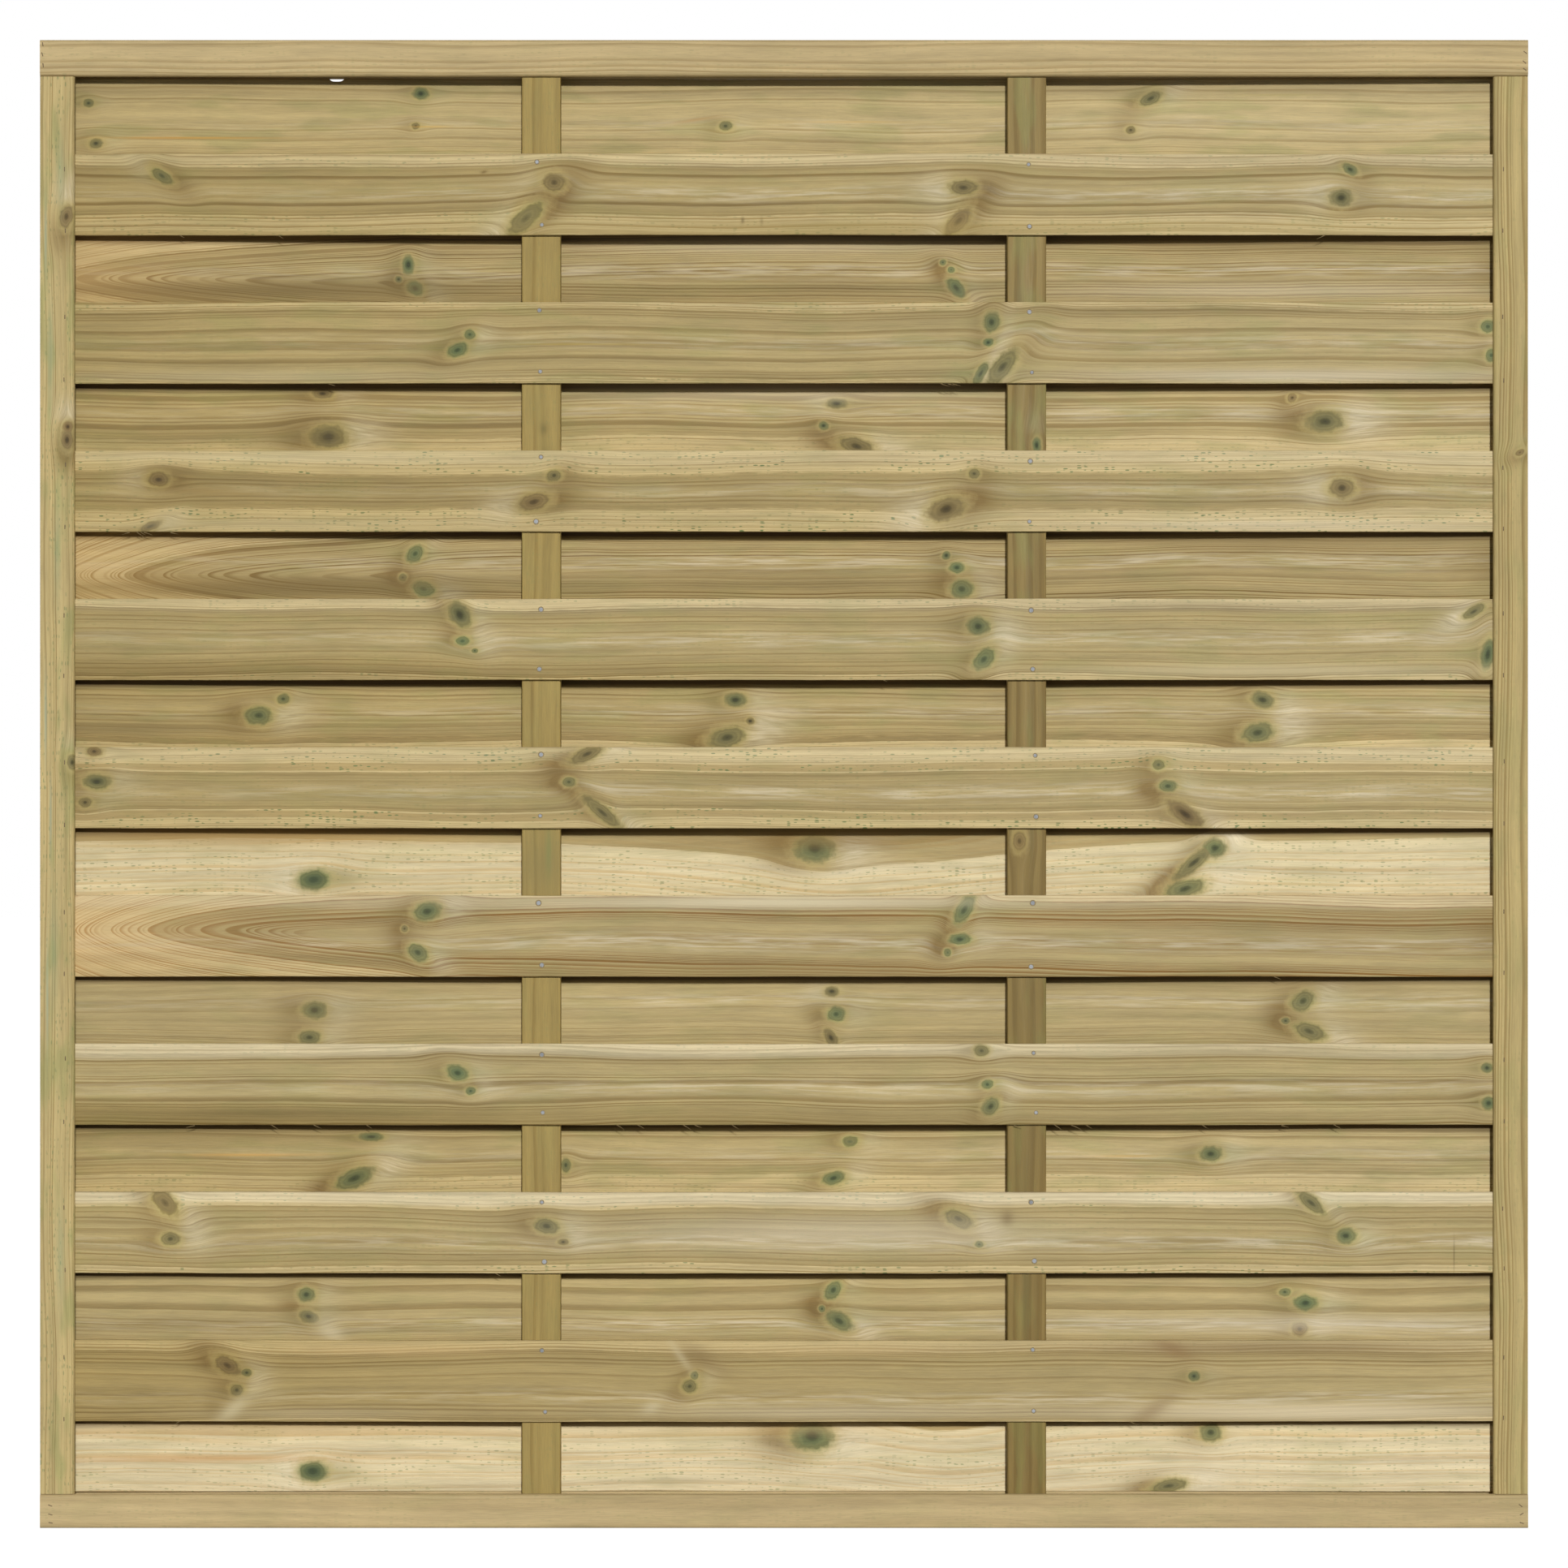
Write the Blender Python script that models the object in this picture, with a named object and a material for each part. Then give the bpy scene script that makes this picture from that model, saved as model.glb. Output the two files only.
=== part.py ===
"""Framed hit-and-miss fence panel in planed, pressure-treated softwood.

Four members, all grooved along the inner face, make the frame. The rails run the panel's full
width. Each stile stands between them: at both ends a stub fills the rail's groove, and a thinner
tongue goes on through the rail and ends flush with its outer edge. Two battens stand in the
rails' grooves. Thin slats are sprung between the stiles' grooves and the battens, which they bend
around, in a front and a rear layer. The layers alternate and lap each other a little, so nothing
shows through from straight ahead, while air passes between them.

Metres, +Z up, the front faces -Y. The origin lies on the left stile's outer face, halfway up the
panel and halfway through its depth.
"""
from math import pi

import bmesh
import bpy
from mathutils import Matrix, Vector

# Overall size
PANEL_WIDTH = 1.800
PANEL_HEIGHT = 1.800

# Frame members, alike but for how broad their faces are
STILE_FACE = 0.042
TOP_RAIL_FACE = 0.044
BOTTOM_RAIL_FACE = 0.041
FRAME_DEPTH = 0.045
LIP_THICKNESS = 0.0075
GROOVE_DEPTH = 0.015
INNER_ARRIS = 0.005
OUTER_ARRIS = 0.003
ARRIS_STEPS = 5

# Corner joints
TONGUE_THICKNESS = 0.015

# Battens
BATTEN_WIDTH = 0.047
BATTEN_ARRIS = 0.002
BATTEN_PLAY = 0.001

# Slats
SLAT_WIDTH = 0.099
SLAT_THICKNESS = 0.008
SLAT_LAP = 0.009
FRONT_LAYER_DROP = 0.003
SLAT_ARRIS = 0.0012
SLAT_END_PLAY = 0.002
BAY_STEPS = 5

# Fitting clearances, and how far a cutter reaches past the wood
SEAT_GAP = 0.0003
EDGE_GAP = 0.0005
OVERCUT = 0.010

# Worked out from the sizes above
GROOVE_WIDTH = FRAME_DEPTH - 2 * LIP_THICKNESS
STILE_WEB = STILE_FACE - GROOVE_DEPTH
OPENING_WIDTH = PANEL_WIDTH - 2 * STILE_FACE
OPENING_HEIGHT = PANEL_HEIGHT - TOP_RAIL_FACE - BOTTOM_RAIL_FACE
OPENING_MIDDLE = (BOTTOM_RAIL_FACE - TOP_RAIL_FACE) / 2
BATTEN_THICKNESS = GROOVE_WIDTH - 2 * BATTEN_PLAY
BATTEN_LENGTH = OPENING_HEIGHT + 2 * (GROOVE_DEPTH - SEAT_GAP)
BAY_WIDTH = (OPENING_WIDTH - 2 * BATTEN_WIDTH) / 3
SLAT_START = STILE_WEB + SLAT_END_PLAY
SLAT_LENGTH = PANEL_WIDTH - 2 * SLAT_START
SLAT_RUN = OPENING_HEIGHT - 2 * EDGE_GAP - SLAT_WIDTH
SLAT_SPACES = 2 * round(SLAT_RUN / (2 * (SLAT_WIDTH - SLAT_LAP)))
SLAT_PITCH = SLAT_RUN / SLAT_SPACES

# How far each layer's centre line stands from the panel's middle, at the stile and at the batten
OFFSET_AT_STILE = GROOVE_WIDTH / 2 - SEAT_GAP - SLAT_THICKNESS / 2
OFFSET_AT_BATTEN = BATTEN_THICKNESS / 2 + SEAT_GAP + SLAT_THICKNESS / 2

# The two layers, by the side of the panel that they lie on
FRONT = -1
REAR = 1

# Colours of the treated timber, as sRGB
RAIL_COLOUR = "C0AC7E"
STILE_COLOUR = "B3A272"
BATTEN_COLOUR = "B09C6A"
FRONT_SLAT_COLOUR = "B29E75"
REAR_SLAT_COLOUR = "BFAE83"
TIMBER_ROUGHNESS = 0.75

# Turns from lying along X, inner face up, to each member's place
LYING = Matrix.Identity(4)
LYING_OVER = Matrix.Rotation(pi, 4, "Y")
STANDING_FACING_RIGHT = Matrix.Rotation(pi / 2, 4, "Y")
STANDING_FACING_LEFT = Matrix.Rotation(-pi / 2, 4, "Y")


def clear_scene():
    for item in list(bpy.data.objects):
        bpy.data.objects.remove(item, do_unlink=True)


def new_collection(name):
    collection = bpy.data.collections.new(name)
    bpy.context.scene.collection.children.link(collection)
    return collection


def srgb_to_linear(hex_colour):
    channels = [int(hex_colour[i:i + 2], 16) / 255 for i in (0, 2, 4)]
    linear = [c / 12.92 if c <= 0.04045 else ((c + 0.055) / 1.055) ** 2.4 for c in channels]
    return (*linear, 1.0)


def timber_material(name, hex_colour):
    material = bpy.data.materials.new(name)
    material.use_nodes = True
    shader = material.node_tree.nodes["Principled BSDF"]
    shader.inputs["Base Color"].default_value = srgb_to_linear(hex_colour)
    shader.inputs["Roughness"].default_value = TIMBER_ROUGHNESS
    shader.inputs["Metallic"].default_value = 0.0
    return material


def add_box(bm, size, centre=(0, 0, 0)):
    """Add one box to the mesh, as long as size says along X, Y and Z."""
    verts = bmesh.ops.create_cube(bm, size=1.0)["verts"]
    bmesh.ops.scale(bm, vec=size, verts=verts)
    bmesh.ops.translate(bm, vec=centre, verts=verts)


def long_edges(bm, side=None):
    """Edges that run along X. A side of 1 or -1 keeps those above or below the middle."""
    chosen = []
    for edge in bm.edges:
        start, end = (vert.co for vert in edge.verts)
        along_x = (end - start).cross(Vector((1, 0, 0))).length < 1e-6
        if along_x and (side is None or start.z * side > 0):
            chosen.append(edge)
    return chosen


def round_edges(bm, edges, radius, steps):
    bmesh.ops.bevel(bm, geom=edges, offset=radius, offset_type="OFFSET", affect="EDGES",
                    segments=steps, profile=0.5, material=-1)


def finish_piece(bm, name, hex_colour, place):
    """Make the mesh a named piece of timber, and stand it in its place in the panel."""
    mesh = bpy.data.meshes.new(name)
    bm.to_mesh(mesh)
    bm.free()
    mesh.shade_smooth()
    mesh.set_sharp_from_angle(angle=pi / 6)
    mesh.materials.append(timber_material(name + "_timber", hex_colour))
    piece = bpy.data.objects.new(name, mesh)
    panel_pieces.objects.link(piece)
    piece.parent = panel_origin
    piece.matrix_local = place
    return piece


def cut_boxes(piece, name, size, centres):
    """Cut boxes of one size out of a piece, at centres given in the piece's own frame."""
    bm = bmesh.new()
    for centre in centres:
        add_box(bm, size, centre)
    mesh = bpy.data.meshes.new(name)
    bm.to_mesh(mesh)
    bm.free()
    cutter = bpy.data.objects.new(name, mesh)
    cutter.parent = piece
    cutter.hide_render = True
    cutter.display_type = "WIRE"
    cutters.objects.link(cutter)
    cut = piece.modifiers.new(name, "BOOLEAN")
    cut.operation = "DIFFERENCE"
    cut.solver = "EXACT"
    cut.object = cutter


def grooved_member(name, length, face, hex_colour, place):
    """A frame member that lies along X, with its groove in the upper, inner face."""
    bm = bmesh.new()
    add_box(bm, (length, FRAME_DEPTH, face))
    inner_arris = min(INNER_ARRIS, LIP_THICKNESS - SEAT_GAP)
    round_edges(bm, long_edges(bm, side=1), inner_arris, ARRIS_STEPS)
    round_edges(bm, long_edges(bm, side=-1), OUTER_ARRIS, ARRIS_STEPS)
    member = finish_piece(bm, name, hex_colour, place)
    groove = (length + 2 * OVERCUT, GROOVE_WIDTH, GROOVE_DEPTH + OVERCUT)
    groove_centre = (0, 0, face / 2 - GROOVE_DEPTH + groove[2] / 2)
    cut_boxes(member, name + "_groove", groove, [groove_centre])
    return member


def rail(name, face, place):
    """A rail, slotted at both ends for the stiles' tongues."""
    member = grooved_member(name, PANEL_WIDTH, face, RAIL_COLOUR, place)
    slot_length = STILE_WEB + SEAT_GAP
    slot = (slot_length + OVERCUT, TONGUE_THICKNESS + 2 * SEAT_GAP, face + 2 * OVERCUT)
    reach = PANEL_WIDTH / 2 - slot_length + slot[0] / 2
    cut_boxes(member, name + "_slots", slot, [(-reach, 0, 0), (reach, 0, 0)])
    return member


def cut_shoulder(member, name, end, length, kept_thickness):
    """Thin one end of a stile, over a length, to the thickness that is kept."""
    depth = (FRAME_DEPTH - kept_thickness) / 2 + OVERCUT
    size = (length + OVERCUT, depth, STILE_FACE + 2 * OVERCUT)
    along = end * (PANEL_HEIGHT / 2 - length + size[0] / 2)
    across = (kept_thickness + depth) / 2
    cut_boxes(member, name, size, [(along, -across, 0), (along, across, 0)])


def stile(name, top_end, place):
    """A stile, with a groove-filling stub and a through tongue at both ends.

    top_end is the end of the lying stile, 1 or -1 along X, that stands at the top.
    """
    member = grooved_member(name, PANEL_HEIGHT, STILE_FACE, STILE_COLOUR, place)
    for label, end, rail_face in (("top", top_end, TOP_RAIL_FACE),
                                  ("bottom", -top_end, BOTTOM_RAIL_FACE)):
        shoulder = rail_face + SEAT_GAP
        cut_shoulder(member, f"{name}_{label}_stub", end, shoulder,
                     GROOVE_WIDTH - 2 * SEAT_GAP)
        cut_shoulder(member, f"{name}_{label}_tongue", end, shoulder - GROOVE_DEPTH,
                     TONGUE_THICKNESS)
    return member


def batten(name, place):
    """An upright batten, let into both rails' grooves."""
    bm = bmesh.new()
    add_box(bm, (BATTEN_LENGTH, BATTEN_THICKNESS, BATTEN_WIDTH))
    round_edges(bm, long_edges(bm), BATTEN_ARRIS, ARRIS_STEPS)
    return finish_piece(bm, name, BATTEN_COLOUR, place)


def slat_offset(x):
    """How far a slat's centre line stands from the panel's middle at x.

    It is the curve of a thin beam on the stiles' groove mouths that two equal loads, at the
    battens' outer edges, push outwards. Inside the groove the slat goes on straight.
    """
    reach = min(x, PANEL_WIDTH - x) - STILE_FACE
    rise_at_batten = BAY_WIDTH ** 2 * (3 * OPENING_WIDTH - 4 * BAY_WIDTH)
    if reach < 0:
        curve = 3 * BAY_WIDTH * (OPENING_WIDTH - BAY_WIDTH) * reach
    elif reach < BAY_WIDTH:
        curve = reach * (3 * BAY_WIDTH * (OPENING_WIDTH - BAY_WIDTH) - reach ** 2)
    else:
        curve = BAY_WIDTH * (3 * reach * (OPENING_WIDTH - reach) - BAY_WIDTH ** 2)
    return OFFSET_AT_STILE + (OFFSET_AT_BATTEN - OFFSET_AT_STILE) * curve / rise_at_batten


def bend_stations():
    """Places across the panel where a slat's mesh is divided so that it can bend."""
    stations = []
    for bay in range(3):
        bay_start = STILE_FACE + bay * (BAY_WIDTH + BATTEN_WIDTH)
        stations += [bay_start + BAY_WIDTH * step / BAY_STEPS for step in range(BAY_STEPS + 1)]
    return stations


def slat(name, layer, height, hex_colour):
    """A thin board sprung between the stiles, bowed towards its own side of the panel."""
    bm = bmesh.new()
    add_box(bm, (SLAT_LENGTH, SLAT_THICKNESS, SLAT_WIDTH))
    round_edges(bm, long_edges(bm), SLAT_ARRIS, 1)
    bmesh.ops.translate(bm, vec=(PANEL_WIDTH / 2, 0, 0), verts=bm.verts)
    for station in bend_stations():
        whole = bm.verts[:] + bm.edges[:] + bm.faces[:]
        bmesh.ops.bisect_plane(bm, geom=whole, plane_co=(station, 0, 0), plane_no=(1, 0, 0))
    for vert in bm.verts:
        vert.co.y += layer * slat_offset(vert.co.x)
    return finish_piece(bm, name, hex_colour, Matrix.Translation((0, 0, height)))


def build_frame():
    across = PANEL_WIDTH / 2
    up = (PANEL_HEIGHT - TOP_RAIL_FACE) / 2
    down = (BOTTOM_RAIL_FACE - PANEL_HEIGHT) / 2
    rail("top_rail", TOP_RAIL_FACE, Matrix.Translation((across, 0, up)) @ LYING_OVER)
    rail("bottom_rail", BOTTOM_RAIL_FACE, Matrix.Translation((across, 0, down)) @ LYING)
    left = STILE_FACE / 2
    right = PANEL_WIDTH - STILE_FACE / 2
    stile("left_stile", -1, Matrix.Translation((left, 0, 0)) @ STANDING_FACING_RIGHT)
    stile("right_stile", 1, Matrix.Translation((right, 0, 0)) @ STANDING_FACING_LEFT)


def build_battens():
    left = STILE_FACE + BAY_WIDTH + BATTEN_WIDTH / 2
    right = PANEL_WIDTH - left
    batten("left_batten",
           Matrix.Translation((left, 0, OPENING_MIDDLE)) @ STANDING_FACING_RIGHT)
    batten("right_batten",
           Matrix.Translation((right, 0, OPENING_MIDDLE)) @ STANDING_FACING_LEFT)


def build_slats():
    """Rear and front slats by turns from the top down, with a rear slat first and last."""
    for place in range(SLAT_SPACES + 1):
        height = OPENING_MIDDLE + SLAT_RUN / 2 - place * SLAT_PITCH
        number = place // 2 + 1
        if place % 2 == 0:
            slat(f"rear_slat_{number}", REAR, height, REAR_SLAT_COLOUR)
        else:
            slat(f"front_slat_{number}", FRONT, height - FRONT_LAYER_DROP, FRONT_SLAT_COLOUR)


clear_scene()
panel_pieces = new_collection("hit_and_miss_panel")
cutters = new_collection("joinery_cutters")
panel_origin = bpy.data.objects.new("panel_origin", None)
panel_pieces.objects.link(panel_origin)
build_frame()
build_battens()
build_slats()
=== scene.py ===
"""A hit-and-miss fence panel, dressed as planed and pressure-treated pine, on a plain studio stage.

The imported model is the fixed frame. The rails, stiles and battens keep their CAD meshes and get a
timber of their own. Each slat is made again as a finely divided board, sprung on the same curve,
and nails, staples and splinters are added. Metres, +Z up, and the front faces -Y.
"""
import random
from collections import namedtuple
from functools import partial
from math import exp, pi, radians

import bmesh
import bpy
from mathutils import Euler, Matrix, Vector, noise


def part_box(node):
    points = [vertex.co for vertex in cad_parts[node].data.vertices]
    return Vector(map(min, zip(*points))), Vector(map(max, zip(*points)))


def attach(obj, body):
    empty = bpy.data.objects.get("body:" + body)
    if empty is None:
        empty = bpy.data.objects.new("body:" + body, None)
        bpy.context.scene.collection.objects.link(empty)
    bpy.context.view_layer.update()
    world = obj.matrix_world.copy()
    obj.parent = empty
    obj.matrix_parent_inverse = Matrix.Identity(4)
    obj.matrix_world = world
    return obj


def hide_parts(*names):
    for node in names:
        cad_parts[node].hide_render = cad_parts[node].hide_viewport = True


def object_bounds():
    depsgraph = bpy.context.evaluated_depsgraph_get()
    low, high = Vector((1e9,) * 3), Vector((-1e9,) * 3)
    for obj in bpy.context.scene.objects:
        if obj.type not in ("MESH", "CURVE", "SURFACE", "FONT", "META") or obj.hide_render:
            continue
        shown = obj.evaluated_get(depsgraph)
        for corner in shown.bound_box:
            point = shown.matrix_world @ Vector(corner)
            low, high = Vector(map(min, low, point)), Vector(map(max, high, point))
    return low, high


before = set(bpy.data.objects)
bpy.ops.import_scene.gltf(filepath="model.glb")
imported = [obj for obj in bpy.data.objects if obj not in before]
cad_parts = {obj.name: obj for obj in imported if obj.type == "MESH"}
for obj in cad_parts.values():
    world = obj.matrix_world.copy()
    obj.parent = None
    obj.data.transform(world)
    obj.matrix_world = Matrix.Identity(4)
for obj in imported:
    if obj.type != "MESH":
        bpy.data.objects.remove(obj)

bl_info = {
    "name": "Hit-and-miss fence panel",
    "version": (1, 0, 0),
    "blender": (4, 5, 0),
    "location": "3D View > Sidebar > Fence panel",
    "description": "Dresses a hit-and-miss fence panel as pressure-treated pine",
    "category": "Object",
}

CAD_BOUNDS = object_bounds()

# Places of the frame's members and battens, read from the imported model
X, Y, Z = range(3)
PANEL_LOW, PANEL_HIGH = (Vector(corner) for corner in CAD_BOUNDS)
PANEL_WIDTH = PANEL_HIGH.x - PANEL_LOW.x
OPENING_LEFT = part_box("left_stile")[1].x
OPENING_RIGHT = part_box("right_stile")[0].x
OPENING_WIDTH = OPENING_RIGHT - OPENING_LEFT
RAIL_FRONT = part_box("bottom_rail")[0].y
BATTEN_CENTRES = [sum(corner.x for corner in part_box(name)) / 2
                  for name in ("left_batten", "right_batten")]
BAY_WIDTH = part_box("left_batten")[0].x - OPENING_LEFT

# The two layers of slats, by the side of the panel that they lie on
FRONT = -1
REAR = 1
FRONT_SLATS = [f"front_slat_{number}" for number in range(1, 10)]
REAR_SLATS = [f"rear_slat_{number}" for number in range(1, 11)]

MM = 1000.0
PLACE = "board_place"

# A knot as seen on the board's front: millimetres along the board and across it from its middle,
# half its length and width, its turn in degrees, how green it is from 0 to 1, and how far the
# wood round it is browned, or made paler where that is negative
Knot = namedtuple("Knot", "along across half_long half_wide turn green cloud")

# A soft mark on the wood, placed in the same way. Short ones are streaks of resin, stain and torn
# grain. Long ones make a stretch paler or darker, and most lie in the middle of a bay, where the
# render's colour was compared with the photo's, so they may hold some of the photo's own shading
Mark = namedtuple("Mark", "along across half_long half_wide turn colour strength")

# A board, in millimetres. Its pith runs that far across from its middle and depth behind its
# front, and drifts across by so much in a metre. Its rings are ring wide, and its heartwood ends
# heart from the pith. The rings climb towards the left end by rise, over rise_length, and dip by
# dip at dip_at, over dip_length. Light and warm tint the whole board, and left is a painted shade
# that darkens and yellows its left end. Heartwood, lines, silver, flecks and green are the
# strengths of the heartwood, ring lines, silvery streaks of painted sheen, resin flecks and
# preservative stain, and silver_at is the streaks' place across. Top is a painted sheen that makes
# its upper strip paler, low is a painted shade that makes its lower part darker, and the lap's
# strength puts a painted shadow on the strip that a slat in front shades. Lean is the side of a
# knot that is browned: 1 for the left, -1 for the right. Sap and line are its own colours of
# sapwood and ring lines, where it has them
Board = namedtuple("Board", "seed pith depth drift ring heart rise rise_length dip dip_at "
                   "dip_length light warm left heartwood lines silver silver_at flecks green "
                   "top low shelter lean sap line knots marks")
PLAIN = Board(seed=0, pith=0, depth=20, drift=0, ring=3.2, heart=36, rise=0, rise_length=300,
              dip=0, dip_at=900, dip_length=150, light=1.0, warm=0.0, left=0.6, heartwood=0.9,
              lines=0.8, silver=0.6, silver_at=0, flecks=0.5, green=0.3, top=0.0, low=0.0,
              shelter=0.0, lean=1, sap="", line="", knots=(), marks=())

# Front slats show the whole of their face, with a painted sheen on the upper strip and painted
# shade on the darker lower strip
SLAT = PLAIN._replace(top=0.8, low=0.7)

# Rear slats carry a painted shadow on the strip that the front ones lap over and shade
REAR_SLAT = PLAIN._replace(shelter=1.0)

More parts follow.
